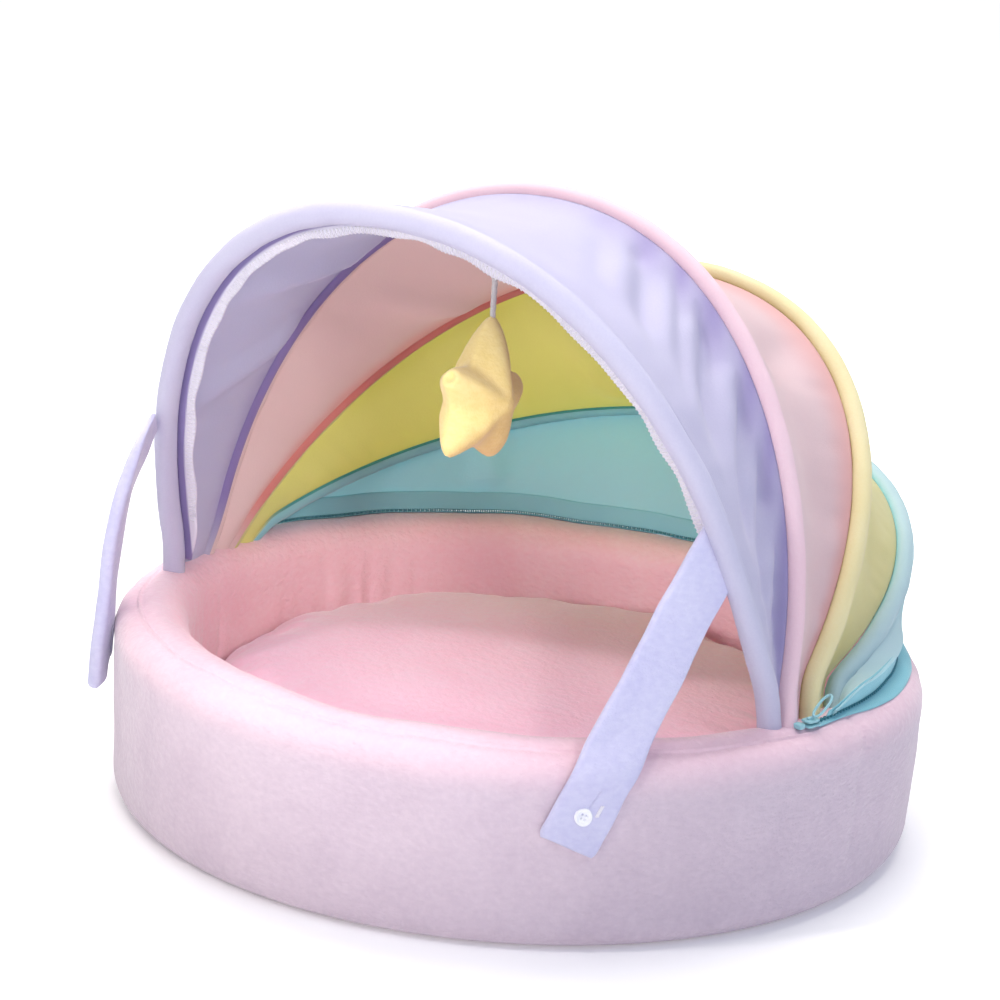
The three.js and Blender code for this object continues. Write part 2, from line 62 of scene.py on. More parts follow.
# Set: square lights, with their sizes in metres, and spots, with their cones in degrees
BED_MIDDLE = (0, 0, 180)
LIGHTS = [
    dict(name="top", place=(-250, -750, 2350), aim=BED_MIDDLE, size=2.0, watts=21, colour="#FFFAF6"),
    dict(name="back", place=(-150, 800, 2300), aim=BED_MIDDLE, size=1.6, watts=42, colour="#FFFCF8"),
    dict(name="left_back", place=(-1250, 600, 2000), aim=BED_MIDDLE, size=1.6, watts=31, colour="#FFFCFA"),
    dict(name="right", place=(1700, -300, 1200), aim=BED_MIDDLE, size=1.6, watts=10, colour="#C4DAFF"),
    dict(name="inside", place=(100, -1500, 620), aim=(0, 50, 185), cone=17, watts=60, colour="#FFFCFA"),
    dict(name="inside_left", place=(1000, -1000, 800), aim=(-180, -70, 100), cone=12, watts=104,
         colour="#FFF8F6"),
    dict(name="seat", place=(-600, -1200, 1570), aim=(75, -45, 82), cone=8, watts=170, colour="#FFF6F8"),
]
SPOT_SIZE = 0.2
SPOT_BLEND = 0.8
ROOM_COLOUR = "#E2EBFF"
ROOM_STRENGTH = 0.18
ROOM_SEEN_STRENGTH = 1.1
FLOOR_HALF = 30000
FLOOR_GLOW = {"From Min": 0.5, "From Max": 3.0, "To Min": 0.16, "To Max": 0.86}

# Base: padded wall and bottom
BASE_RADIUS = 250
BASE_FOOT_RADIUS = 247.5
BASE_FOOT_ROUND = 16
RIM_HEIGHT = 117
RIM_OUTER_WIDTH = 24
RIM_INNER_WIDTH = 22
RIM_ROUND_HEIGHT = 20
RIM_TILT = 4
RIM_HIGH_SIDE = -140
FLOOR_THICKNESS = 12
CROWN_RADIUS = BASE_RADIUS - RIM_OUTER_WIDTH
WELL_RADIUS = CROWN_RADIUS - RIM_INNER_WIDTH
SHOULDER_HEIGHT = RIM_HEIGHT - RIM_ROUND_HEIGHT
PADDING_FULL = (8, 40)
RIM_SEAM_RADIUS = 235
RIDGE_HEIGHT = 1.9
RIDGE_WIDTH = 0.9
RIDGE_DIP = 1.8
RIDGE_DIP_WIDTH = 4.5
RIDGE_OFF_ZIP = (98, 104)
WALL_JOIN_ANGLE = -1.8
WALL_JOIN_WIDTH = 0.7
WALL_JOIN_DEPTH = 1.6
GATHERS = 90
GATHER_WIDTH = 0.75
GATHER_DEPTH = 3.4
GATHER_TOP = SHOULDER_HEIGHT + 8
GATHER_FADE = 60
LINING_FADE = (1, 17)
PAINTED_WALL_SHADE_FADE = (4, 34)

# Cushion
CUSHION_RADIUS = WELL_RADIUS - 0.8
CUSHION_LIFT = 0.4
CUSHION_SEAM_HEIGHT = 42
CUSHION_FOOT_RADIUS = 176
CUSHION_EDGE_HEIGHT = 70
CUSHION_EDGE_RADIUS = 186
CUSHION_CROWN_HEIGHT = 86
CUSHION_SWELL = 3
PUCKER_ROUND = 3.4
PUCKER_OUT = 0.12

# Ribs and panels, the same rows as the solids have
RIB_LIFT = 0.6
RIB_STEPS = 6001
RIBS = {
    "front": dict(foot=222, left=-90, right=-66, lean=73, rise=274, fullness=2.16, casing=7),
    "pink": dict(foot=219, left=-46, right=-48, lean=102.8, rise=266, fullness=2.08, casing=6),
    "yellow": dict(foot=216, left=-26, right=-30, lean=136.5, rise=281, fullness=2.12, casing=6),
    "blue": dict(foot=217, left=-6, right=-10, lean=165, rise=294, fullness=2.08, casing=6),
}
ROOT_SPREAD = {"front": 0.1, "pink": 0.55, "yellow": 0.55, "blue": 0.55}
ROOT_DEPTH = 1.5
ROOT_LENGTH = 13
RIB_SWEEP = {"front": 10, "pink": 0, "yellow": 0, "blue": 0}
SWEEP_LENGTH = 42
PANEL_CLOTH = 1.2
PANEL_ENDS = 0.004
PANEL_SINK = 0.3
FOLD_GAIN = 2.1
SEAM_GAP = 0.4
SEAM_GATHER_FADE = 16
LEAVE_ANGLE = 14
CANOPY_HEART = np.array([0, 30, 140])
# next_rib_shade sets how strongly painted shade deepens each panel's colour toward its next rib.
PANELS = {
    "lavender": dict(first="front", next="pink", sag=0.05, tuck=1.5, gather=2.0, flap=52, next_rib_shade=0.45),
    "pink": dict(first="pink", next="yellow", sag=0.085, tuck=4, gather=1.6, flap=46, next_rib_shade=0.4),
    "yellow": dict(first="yellow", next="blue", sag=0.1, tuck=4, gather=1.4, flap=17, next_rib_shade=0.0),
    "blue": dict(first="blue", next="zip", sag=0.06, tuck=0, gather=1.2, flap=0, next_rib_shade=0.0),
}
FOLDS = {
    "lavender": [
        dict(along=0.33, across=0.9, width=14, depth=4, slant=0.1, reach=0.6),
        dict(along=0.22, across=0.9, width=13, depth=4, slant=0.1, reach=0.6),
    ],
    "pink": [
        dict(along=0.66, across=0.7, width=22, depth=2, slant=-0.12, reach=0.45),
        dict(along=0.3, across=0.7, width=15, depth=4, slant=0.06, reach=0.45),
    ],
    "yellow": [
        dict(along=0.6, across=0.7, width=15, depth=4, slant=-0.05, reach=0.45),
        dict(along=0.38, across=0.7, width=15, depth=4, slant=0.05, reach=0.45),
    ],
    "blue": [
        dict(along=0.72, across=0.6, width=13, depth=3, slant=-0.03, reach=0.5),
        dict(along=0.5, across=0.6, width=15, depth=3, slant=0.0, reach=0.5),
        dict(along=0.28, across=0.6, width=13, depth=3, slant=0.03, reach=0.5),
    ],
}

# The front panel's hanging pleats, by distance along a level line, and its raw hem behind the front rib
FRONT_PANEL = "lavender"
PLEAT_WAY = np.array([0.824, 0.566, 0])
PLEAT_START = (0.52, 0.62)
PLEATS = [
    dict(at=30, width=10, depth=3.6),
    dict(at=57, width=9, depth=6.2),
    dict(at=78, width=5, depth=3.4),
    dict(at=97, width=8, depth=8.8),
    dict(at=119.6, width=6, depth=8),
    dict(at=132.5, width=4.8, depth=7.2),
    dict(at=144.5, width=4.5, depth=6.4),
    dict(at=155, width=4.5, depth=5.6),
]
HEM_CLOTH = 1.5
HEM_NEAR = 3.5
HEM_FAR = 16
HEM_END_WIDTH = 1.5
HEM_SHADE = 9.6
HEM_SHADE_FADE = 0.6
HEM_BACK_LEFT = 6.5
HEM_BACK_RIGHT = 2.6
OVERLOCK_PITCH = 2.9
OVERLOCK_LIFT = 0.85
OVERLOCK_RADIUS = 0.33

# Zip: tapes, teeth, slider and closed end
ZIP_RADIUS = 231.2
ZIP_RIGHT = -8.5
ZIP_LEFT = 189
ZIP_MIDDLE = 91
LOWER_TAPE_INNER = 230.4
LOWER_TAPE_OUTER = 241.5
LOWER_TAPE_LIFT = 1.0
LOWER_TAPE_EASE = 24
LOWER_TAPE_END = 4
UPPER_TAPE_RIGHT = -6
UPPER_TAPE_LEFT = 187
UPPER_TAPE_FOOT = 2.2
UPPER_TAPE_HEIGHT = 13
UPPER_TAPE_FLARE = 1.5
UPPER_TAPE_EASE = 10
UPPER_TAPE_END = 0.35
TAPE_CLOTH = 1.0
PANEL_ON_TAPE = 0.85
PANEL_OFF_TAPE = 2.0
TOOTH_PITCH = 1.6
TOOTH_SIZE = (TOOTH_PITCH * 0.78, 2.3, 1.9)
TOOTH_LIFT = 2.1
TOOTH_ASIDE = 0.3
SLIDER_AT = -9.6
SLIDER_LIFT = 0.6
SLIDER_BLOCKS = [
    dict(size=(11, 8.4, 1.5), at=(0, 0, 0.9), square=0.35),
    dict(size=(10, 7.2, 1.5), at=(0, 0, 3.5), square=0.35),
    dict(size=(3, 2.6, 3.6), at=(2.2, 0, 2.2), square=0.4),
    dict(size=(6.6, 2.4, 2.2), at=(0.2, 0, 4.5), square=0.5),
    dict(size=(5, 6, 3.2), at=(-9.5, 0.4, 1.8), square=0.4),
]
PULL_HALF_LENGTH = 8.2
PULL_HALF_WIDTH = 2.9
PULL_WIRE = 0.8
PULL_RISE = 38
PULL_FOOT = (0, -2.6, 6.4)
END_LOOP_ANGLE = ZIP_LEFT + 0.6
END_LOOP_LIFT = 5.2
END_LOOP_SIZE = (5.4, 3.0, 4.4)
END_LOOP_BAND = 0.16

# Straps: each line's distances from the bed's axis, angles round it and heights. None lies on the wall.
STRAP_WIDTH = 34
STRAP_ROWS = 221
STRAP_COLUMNS = 41
STRAP_LIFT = 1.4
STRAP_CORNER = 7
STRAP_EDGE = 3.2
STRAPS = {
    "right": dict(cloth=5.5, top=1.0, crease=0.8, turn=0.0, cup=0.8),
    "left": dict(cloth=8.5, top=0.42, crease=0.3, turn=0.05, cup=4.0),
}
STRAP_SEWN = {"right": dict(shares=(0.815, 0.8645), inward=4, behind=5, ease=0.22)}
STRAP_LINES = {
    "right": [
        (219, -28.6, 217), (224, -32.5, 192), (231, -36.4, 166), (243, -41.7, 130),
        (None, -44.8, 104), (None, -47, 82), (None, -48.6, 65),
    ],
    "left": [
        (229, 213.6, 224), (235, 217.8, 211), (243, 219.8, 188), (248, 220.6, 156),
        (251, 220.6, 122), (253, 220.6, 92), (255.5, 220.6, 66),
    ],
}
WALL_CLEARANCE = 1.6
SLIT_PLACE = 0.52
SLIT_WIDTH = 0.9
SLIT_DEPTH = 1.1
PINCH_WIDTH = 9
PINCH_DEPTH = 1.2
BUTTON_PLACE = 0.89
BUTTON_RADIUS = 5.3
BUTTON_THICKNESS = 2.4
BUTTON_RINGS = 40
BUTTON_DISH = 0.8
BUTTON_ROUND = 1.2
BUTTON_HOLE_AT = 1.05
BUTTON_HOLE_DEPTH = 1.3
TRIM_LIFT = 0.2
TACK_ENDS = (0.832, 0.872)
TACK_COLUMN = 28
TACK_SWINGS = 9
TACK_WIDTH = 0.8
TACK_THREAD = 0.35

# Star and its cord
STAR_POINT = 46
STAR_OUTLINE = np.array([63, 22, 46, 27, 50, 30])
STAR_DEPTH = 25
STAR_SWELL = 2
STAR_LEAN = -10
STAR_DROP = 0.4
STAR_SOFTENING = [0.05, 0.09, 0.13, 0.15, 0.16, 0.15, 0.13, 0.09, 0.05]
STAR_NUB = 40
STAR_NUB_ANGLE = -72
STAR_NUB_PULL = 7.5
STAR_NUB_WIDTH = 4.2
CORD_LOW, CORD_HIGH = (np.array(corner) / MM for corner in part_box("star_cord"))
CORD_IN_HEM = 1.0
CORD_IN_STAR = 3.5
CORD_TWIST = 2.2
CORD_GROOVE = 0.16

# Soft waves in cloth and padding: depth, size from crest to crest, and the seed of their directions
WAVES = {
    "padding": (1.5, 130, 1),
    "small_padding": (0.5, 42, 2),
    "rim_seam": (0.8, 60, 3),
    "puckers": (1.5, 26, 11),
    "dents": (1.6, 150, 12),
    "casing_gathers": (0.22, 40, 20),
    "casing_ripple": (0.06, 9, 21),
    "seam_gathers": (1.0, 22, 30),
    "slack": (1.6, 70, 40),
    "hem_edge": (0.9, 46, 51),
    "hem_curl": (1.5, 70, 52),
    "lower_tape": (0.35, 26, 61),
    "upper_tape": (0.5, 40, 62),
    "strap_creases": (1.0, 36, 70),
    "star_lumps": (0.5, 16, 81),
}

# Sizes of the materials' patterns. Fibres and twill ribs are finer in fact, and drawn coarse enough to show.
PILE_PATCH = 46
PILE_TUFT = 4.5
PILE_GRAIN = 1.5
PILE_DEPTH = 1.8
KNIT_CLOUD = 55
KNIT_FIBRE = 1.4
TWILL_RIB = 1.2
TWILL_CLOUD = 30
MOULDED_CLOUD = 3
YARN_FIBRE = 0.8
# A colour mix's sockets, which share their names with those of other mixes and so go by number
SHARE, FIRST, SECOND, MIXED = 0, 6, 7, 2


# Camera, light and floor


def new_object(name, data):
    """A new object at the origin, linked to the scene."""
    thing = bpy.data.objects.new(name, data)
    SCENE.collection.objects.link(thing)
    return thing


def make_camera():
    """Stands the camera off the bed's middle at the azimuth and elevation, and turns it by the roll."""
    azimuth, elevation, roll = np.radians([CAMERA_AZIMUTH, CAMERA_ELEVATION, CAMERA_ROLL])
    level = math.cos(elevation)
    back = np.array([math.sin(azimuth) * level, -math.cos(azimuth) * level, math.sin(elevation)])
    side = np.array([math.cos(azimuth), math.sin(azimuth), 0])
    up = np.cross(back, side)
    eye = UP * CAMERA_AIM_HEIGHT + side * CAMERA_AIM_SIDE + back * CAMERA_DISTANCE
    turned_side = math.cos(roll) * side + math.sin(roll) * up
    turned_up = math.cos(roll) * up - math.sin(roll) * side
    lens = bpy.data.cameras.new("camera")
    lens.lens = CAMERA_LENS
    lens.sensor_width = CAMERA_SENSOR
    lens.clip_end = 2 * FLOOR_HALF * MM
    camera = new_object("camera", lens)
    rows = np.column_stack([turned_side, turned_up, back, eye * MM])
    camera.matrix_world = Matrix([*rows.tolist(), [0, 0, 0, 1]])
    SCENE.camera = camera


def make_lights():
    """Square soft lights round the bed and three soft spots into it, in a dim room that is seen as pale."""
    for row in LIGHTS:
        lamp = bpy.data.lights.new(row["name"], "SPOT" if "cone" in row else "AREA")
        if "cone" in row:
            lamp.spot_size = math.radians(row["cone"])
            lamp.spot_blend = SPOT_BLEND
            lamp.shadow_soft_size = SPOT_SIZE
        else:
            lamp.size = row["size"]
        lamp.energy = row["watts"]
        lamp.color = linear(row["colour"])[:3]
        light = new_object(row["name"], lamp)
        light.location = Vector(row["place"]) * MM
        light.rotation_mode = "QUATERNION"
        light.rotation_quaternion = (Vector(row["aim"]) * MM - light.location).to_track_quat("-Z", "Y")
    room = bpy.data.worlds.new("room")
    room.use_nodes = True
    tree = room.node_tree
    seen = add(tree, "LightPath").outputs["Is Camera Ray"]
    strength = add(tree, "MapRange", {"Value": seen, "To Min": ROOM_STRENGTH, "To Max": ROOM_SEEN_STRENGTH})
    tree.nodes["Background"].inputs["Color"].default_value = linear(ROOM_COLOUR)
    tree.links.new(strength.outputs[0], tree.nodes["Background"].inputs["Strength"])
    SCENE.world = room
    SCENE.view_settings.view_transform = "Standard"


def make_floor():
    """A flat square far wider than the view, level with the bed's foot."""
    corners = np.array([[-1, -1, 0], [1, -1, 0], [1, 1, 0], [-1, 1, 0]]) * FLOOR_HALF * MM
    mesh = bpy.data.meshes.new("floor")
    mesh.from_pydata(corners.tolist(), [], [[0, 1, 2, 3]])
    mesh.materials.append(floor_paint())
    new_object("floor", mesh)


# Materials


def linear(hex_colour):
    """An sRGB hex value as linear red, green, blue and alpha."""
    channels = np.array([int(hex_colour[k : k + 2], 16) for k in (1, 3, 5)]) / 255
    values = np.where(channels <= 0.04045, channels / 12.92, ((channels + 0.055) / 1.055) ** 2.4)
    return (*values.tolist(), 1.0)


def add(tree, kind, inputs=None, **settings):
    """Adds a shader node with its settings. An input takes a value, a socket or a node's first output."""
    node = tree.nodes.new("ShaderNode" + kind)
    for key, value in settings.items():
        setattr(node, key, value)
    for key, value in (inputs or {}).items():
        source = value.outputs[0] if isinstance(value, bpy.types.Node) else value
        if isinstance(source, bpy.types.NodeSocket):
            tree.links.new(source, node.inputs[key])
        else:
            node.inputs[key].default_value = source
    return node


def new_material(name):
    """An empty node material and its tree."""
    material = bpy.data.materials.new(name)
    material.use_nodes = True
    material.node_tree.nodes.clear()
    return material, material.node_tree


def per_metre(millimetres):
    """A texture scale that repeats about once in a real size."""
    return 1 / (millimetres * MM)


def floor_paint():
    """Matt white paint: even and pale, so that the bed's colours stand alone, and brighter far off."""
    material, tree = new_material("matt_white_paint")
    place = add(tree, "TexCoord").outputs["Object"]
    far = add(tree, "VectorMath", {0: place}, operation="LENGTH").outputs["Value"]
    glow = add(tree, "MapRange", {"Value": far, **FLOOR_GLOW})
    surface = add(tree, "BsdfPrincipled", {
        "Base Color": linear("#FAFAFA"), "Roughness": 0.9,
        "Emission Color": linear("#FFFFFF"), "Emission Strength": glow,
    })
    add(tree, "OutputMaterial", {"Surface": surface})
    return material


def plush(name, colour, deep, sheen, pile, **zones):
    """Short-pile polyester plush: cut pile in stroked patches, pale where it catches slanting light.

    pile says how deep the curled tufts look, and zones has a pair of colours for the places that each of the
    piece's attributes marks.
    """
    material, tree = new_material(name)
    place = add(tree, "TexCoord").outputs["Object"]
    patches = add(tree, "TexNoise", {
        "Vector": place, "Scale": per_metre(PILE_PATCH), "Detail": 2.0, "Distortion": 0.6,
    })
    streaks = add(tree, "Mapping", {"Vector": place, "Scale": (1.0, 1.0, 1.5)})
    tufts = add(tree, "TexNoise", {"Vector": streaks, "Scale": per_metre(PILE_TUFT), "Detail": 3.0})
    grain = add(tree, "TexNoise", {"Vector": place, "Scale": per_metre(PILE_GRAIN), "Detail": 2.0})
    patchy = add(tree, "MapRange", {"Value": patches, "From Min": 0.35, "From Max": 0.68, "To Max": 0.4})
    tufted = add(tree, "MapRange", {"Value": tufts, "From Min": 0.3, "From Max": 0.7, "To Max": 0.45})
    share = add(tree, "Math", {0: patchy, 1: tufted}, operation="ADD")
    cloth = add(tree, "Mix", {SHARE: share, FIRST: linear(colour), SECOND: linear(deep)}, data_type="RGBA")
    for zone, pair in zones.items():
        pale, dark = map(linear, pair)
        other = add(tree, "Mix", {SHARE: share, FIRST: pale, SECOND: dark}, data_type="RGBA")
        marked = add(tree, "Attribute", attribute_name=zone).outputs["Fac"]
        both = {SHARE: marked, FIRST: cloth.outputs[MIXED], SECOND: other.outputs[MIXED]}
        cloth = add(tree, "Mix", both, data_type="RGBA")
    rough = add(tree, "Bump", {"Height": grain, "Strength": 0.3, "Distance": 0.9 * MM})
    lumps = add(tree, "Bump", {
        "Height": tufts, "Strength": pile, "Distance": PILE_DEPTH * MM, "Normal": rough,
    })
    surface = add(tree, "BsdfPrincipled", {
        "Base Color": cloth.outputs[MIXED], "Roughness": 0.95, "Specular IOR Level": 0.15,
        "Sheen Weight": sheen, "Sheen Roughness": 0.35, "Normal": lumps,
    })
    add(tree, "OutputMaterial", {"Surface": surface})
    return material


def brushed_cloth(name, colour, deep, seam, glow, through, inner):
    """Brushed polyester knit: soft, matt and fibrous, and so thin that light from behind glows through.

    Seam allowances, marked by the piece's seam attribute, are two layers thick and so deeper in colour. The
    same
    mark also paints shade: in the creases toward the next rib, in the front panel's pleat troughs and in the
    gap behind the front rib, where the light passed through is deepened too. The unbrushed inner face,
    marked by its inner attribute, shows the dye more fully.
    """
    material, tree = new_material(name)
    place = add(tree, "TexCoord").outputs["Object"]
    clouds = add(tree, "TexNoise", {"Vector": place, "Scale": per_metre(KNIT_CLOUD), "Detail": 2.0})
    fibres = add(tree, "TexNoise", {"Vector": place, "Scale": per_metre(KNIT_FIBRE), "Detail": 3.0})
    cloud_share = add(tree, "MapRange", {"Value": clouds, "From Min": 0.3, "From Max": 0.7, "To Max": 0.5})
    fibre_share = add(tree, "MapRange", {"Value": fibres, "From Min": 0.3, "From Max": 0.7, "To Max": 0.35})
    share = add(tree, "Math", {0: cloud_share, 1: fibre_share}, operation="ADD")
    plain = add(tree, "Mix", {SHARE: share, FIRST: linear(colour), SECOND: linear(deep)}, data_type="RGBA")
    inside = add(tree, "Attribute", attribute_name="inner").outputs["Fac"]
    faces = {SHARE: inside, FIRST: plain.outputs[MIXED], SECOND: linear(inner)}
    faced = add(tree, "Mix", faces, data_type="RGBA")
    marked = add(tree, "Attribute", attribute_name="seam").outputs["Fac"]
    layers = {SHARE: marked, FIRST: faced.outputs[MIXED], SECOND: linear(seam)}
    cloth = add(tree, "Mix", layers, data_type="RGBA")
    bump = add(tree, "Bump", {"Height": fibres, "Strength": 0.35, "Distance": 0.5 * MM})
    surface = add(tree, "BsdfPrincipled", {
        "Base Color": cloth.outputs[MIXED], "Roughness": 0.9, "Specular IOR Level": 0.2,
        "Sheen Weight": 0.25, "Sheen Roughness": 0.4, "Normal": bump,
    })
    passed = add(tree, "Mix", {SHARE: marked, FIRST: linear(glow), SECOND: linear(seam)}, data_type="RGBA")
    lit = add(tree, "BsdfTranslucent", {"Color": passed.outputs[MIXED]})
    both = add(tree, "MixShader", {0: through, 1: surface, 2: lit})
    add(tree, "OutputMaterial", {"Surface": both})
    return material


def woven_tape(name, colour, deep):
    """Woven polyester zip tape: a close twill whose ribs run across it, with a slight gloss."""
    material, tree = new_material(name)
    place = add(tree, "UVMap")
    wave = add(tree, "TexWave", {"Vector": place, "Scale": per_metre(TWILL_RIB), "Distortion": 0.6})
    ribs = wave.outputs["Fac"]
    clouds = add(tree, "TexNoise", {"Vector": place, "Scale": per_metre(TWILL_CLOUD), "Detail": 2.0})
    share = add(tree, "Math", {0: ribs, 1: clouds}, operation="MULTIPLY")
    cloth = add(tree, "Mix", {SHARE: share, FIRST: linear(colour), SECOND: linear(deep)}, data_type="RGBA")
    bump = add(tree, "Bump", {"Height": ribs, "Strength": 0.3, "Distance": 0.2 * MM})
    surface = add(tree, "BsdfPrincipled", {
        "Base Color": cloth.outputs[MIXED], "Roughness": 0.55, "Sheen Weight": 0.2, "Normal": bump,
    })
    add(tree, "OutputMaterial", {"Surface": surface})
    return material


def moulded_plastic(name, colour, deep, roughness):
    """Moulded or lacquered small part: smooth, with a clear highlight and faint unevenness in its colour."""
    material, tree = new_material(name)
    place = add(tree, "TexCoord").outputs["Object"]
    clouds = add(tree, "TexNoise", {"Vector": place, "Scale": per_metre(MOULDED_CLOUD), "Detail": 2.0})
    tone = add(tree, "Mix", {SHARE: clouds, FIRST: linear(colour), SECOND: linear(deep)}, data_type="RGBA")
    bump = add(tree, "Bump", {"Height": clouds, "Strength": 0.1, "Distance": 0.1 * MM})
    surface = add(tree, "BsdfPrincipled", {
        "Base Color": tone.outputs[MIXED], "Roughness": roughness, "IOR": 1.5, "Normal": bump,
    })
    add(tree, "OutputMaterial", {"Surface": surface})
    return material


def twisted_yarn(name, colour, deep):
    """Twisted or braided yarn: matt strands with darker lines where they meet."""
    material, tree = new_material(name)
    place = add(tree, "TexCoord").outputs["Object"]
    fibres = add(tree, "TexNoise", {"Vector": place, "Scale": per_metre(YARN_FIBRE), "Detail": 2.0})
    tone = add(tree, "Mix", {SHARE: fibres, FIRST: linear(colour), SECOND: linear(deep)}, data_type="RGBA")
    bump = add(tree, "Bump", {"Height": fibres, "Strength": 0.4, "Distance": 0.2 * MM})
    surface = add(tree, "BsdfPrincipled", {
        "Base Color": tone.outputs[MIXED], "Roughness": 0.85, "Sheen Weight": 0.3, "Normal": bump,
    })
    add(tree, "OutputMaterial", {"Surface": surface})
    return material


# Each knit's name, colour, deeper clouds, seam, light through it, that light's share and inner face.
# The seam colour is also used as painted shade in creases and in the gap behind the front rib.
KNITS = {
    "lavender": ("lavender_brushed_knit", "#DCD9EE", "#D0CCE6", "#A99BD0", "#CBCDE0", 0.36, "#D2D2E6"),
    "pink": ("pink_brushed_knit", "#F2DBE0", "#EACED5", "#F0A79E", "#EAD9D6", 0.36, "#F0DEDB"),
    "yellow": ("yellow_brushed_knit", "#F6EEC8", "#EFE5B2", "#5FB1BC", "#EEEE82", 0.42, "#E4E4A8"),
    "blue": ("blue_brushed_knit", "#E0F2F5", "#D2EAEF", "#6FB9C2", "#A6E6EC", 0.42, "#C4E0E4"),
    "rib_front": ("lavender_casing_knit", "#D6D4E8", "#CAC7E0", "#B4A8D6", "#CBCDE0", 0.2, "#D2D2E6"),
    "rib_pink": ("pink_casing_knit", "#FDE0E9", "#F9D3DF", "#F0A79E", "#EAD9D6", 0.2, "#F0DEDB"),
    "rib_yellow": ("yellow_casing_knit", "#F9EFC6", "#F4E6AE", "#C6C86C", "#DEE076", 0.2, "#E4E4A8"),
    "rib_blue": ("blue_casing_knit", "#C2DADF", "#B6D2D9", "#6FB9C2", "#8ED4DC", 0.2, "#9FDCE4"),
    "hem": ("pale_lavender_raw_edge", "#F4F2FB", "#E6E3F3", "#9A8FC2", "#DAD7EC", 0.2, "#F4F2FB"),
}
MATERIALS = {
    # The base's wall colours, used below the rim seam, are painted shade: deeper and cooler than the rim
    # top, standing in for the lesser light on the upright side.
    "base": plush(
        "pale_pink_plush", "#F1D1DB", "#E7C3CF", 0.4, 0.65,
        inner=("#FFD8E0", "#FDC8D3"), wall=("#D8C7D2", "#C9B7C5"),
    ),
    "cushion": plush("pink_plush", "#FFD6E5", "#FFC8DA", 0.5, 0.45),
    "star": plush("yellow_plush", "#F8E2A0", "#EFD486", 0.35, 0.12),
    "strap": plush("lavender_plush", "#CFCEE6", "#BCBADC", 0.4, 0.4),
    **{place: brushed_cloth(*row) for place, row in KNITS.items()},
    "tape": woven_tape("teal_zip_twill", "#90CFDA", "#76BECC"),
    # The coil is teal nylon, darkened to paint the shadow line between the two tapes.
    "coil": moulded_plastic("teal_nylon_darkened_as_shade", "#3F8996", "#317684", 0.4),
    "slider": moulded_plastic("teal_lacquered_zinc", "#A3D3DA", "#8CC4CD", 0.3),
    "button": moulded_plastic("white_polyester_resin", "#F8F8FC", "#ECECF6", 0.25),
    "thread": twisted_yarn("white_sewing_thread", "#F4F2F6", "#D8D5E2"),
    "cord": twisted_yarn("light_grey_braid", "#CFCBCB", "#ABA6A8"),
}


# Measures and directions


def smooth(value, low, high):
    """Rises from 0 at low to 1 at high along a cubic with level ends."""
    share = np.clip((value - low) / (high - low), 0, 1)
    return share * share * (3 - 2 * share)


def between(value, low, high, ease):
    """1 between two ends, easing to 0 at both."""
    return smooth(value, low, low + ease) * smooth(-value, -high, ease - high)


def bell(off, width):
    """1 at no distance, falling as the exponential of minus the square of distance over width."""
    return np.exp(-((off / width) ** 2))


def mix(first, second, share):
    """A value part of the way from the first to the second."""
    return first + (second - first) * share


def degrees_off(angle, centre):
    """Degrees from a centre, within half a turn either way."""
    return (angle - centre + 180) % 360 - 180


def full_turn(count):
    """Equal steps once round, in radians."""
    return np.linspace(0, 2 * np.pi, count, endpoint=False)


def unit(vectors):
    """Vectors along the last axis, made one long."""
    return vectors / np.linalg.norm(vectors, axis=-1, keepdims=True).clip(1e-9)


def dot(first, second):
    """Sums of products along the last axis, which is kept."""
    return np.sum(first * second, axis=-1, keepdims=True)


def square_to(vectors, way):
    """Vectors less their part along a direction."""
    return vectors - way * dot(vectors, way)


def facing(vectors, toward):
    """Vectors, turned about where they point away from others."""
    return vectors * np.sign(dot(vectors, toward))


def points_of(*parts):
    """Coordinates spread to one grid and put together as points."""
    return np.stack(np.broadcast_arrays(*parts), axis=-1)


def polar(radius, angle, height):
    """Points from distance, angle in degrees and height about the bed's axis."""
    turn = np.radians(angle)
    return points_of(radius * np.cos(turn), radius * np.sin(turn), height)


def steps(points, axis=0):
    """Lengths of the steps along one axis of a line or grid of points."""
    return np.linalg.norm(np.diff(points, axis=axis), axis=-1)


def run_of(lengths):
    """Running total of lengths, from nought."""
    return np.concatenate([[0], np.cumsum(lengths)])


def on_line(line, share):
    """Points and directions at shares of a dense line's length, and that length."""
    run = run_of(steps(line))
    spot = np.asarray(share) * run[-1]

    def pick(rows):
        return np.column_stack([np.interp(spot, run, column) for column in rows.T])

    return pick(line), unit(pick(unit(np.gradient(line, axis=0)))), run[-1]


def waves(kind, points, shift=0):
    """Sixteen sine waves in seeded directions, added up and mostly within the kind's depth either way.

    shift gives each piece of a kind its own seed.
    """
    depth, size, seed = WAVES[kind]
    rng = np.random.default_rng(seed + shift)
    directions = unit(rng.normal(size=(16, points.shape[-1])))
    lengths = size * rng.uniform(0.6, 1.6, 16)
    phases = rng.uniform(0, 2 * np.pi, 16)
    heights = np.sin(2 * np.pi * points @ (directions / lengths[:, None]).T + phases)
    return depth * heights.sum(axis=-1) / 5.6


# Surfaces and pieces


def arc(x, y, width, height, first, last, count):
    """Profile rows along an ellipse between two angles."""
    turn = np.radians(np.linspace(first, last, count))
    return np.column_stack([x + width * np.cos(turn), y + height * np.sin(turn)])


def straight(first, last, count):
    """Profile rows along a straight stretch, both ends included."""
    return np.linspace(first, last, count)


def grid_faces(rows, columns, round_rows=False, round_columns=False):
    """Four-cornered faces of a grid, joined round on itself where asked."""
    numbers = np.arange(rows * columns).reshape(rows, columns)
    if round_rows:
        numbers = np.vstack([numbers, numbers[:1]])
    if round_columns:
        numbers = np.hstack([numbers, numbers[:, :1]])
    corners = [numbers[:-1, :-1], numbers[1:, :-1], numbers[1:, 1:], numbers[:-1, 1:]]
    return np.stack(corners, axis=-1).reshape(-1, 4)


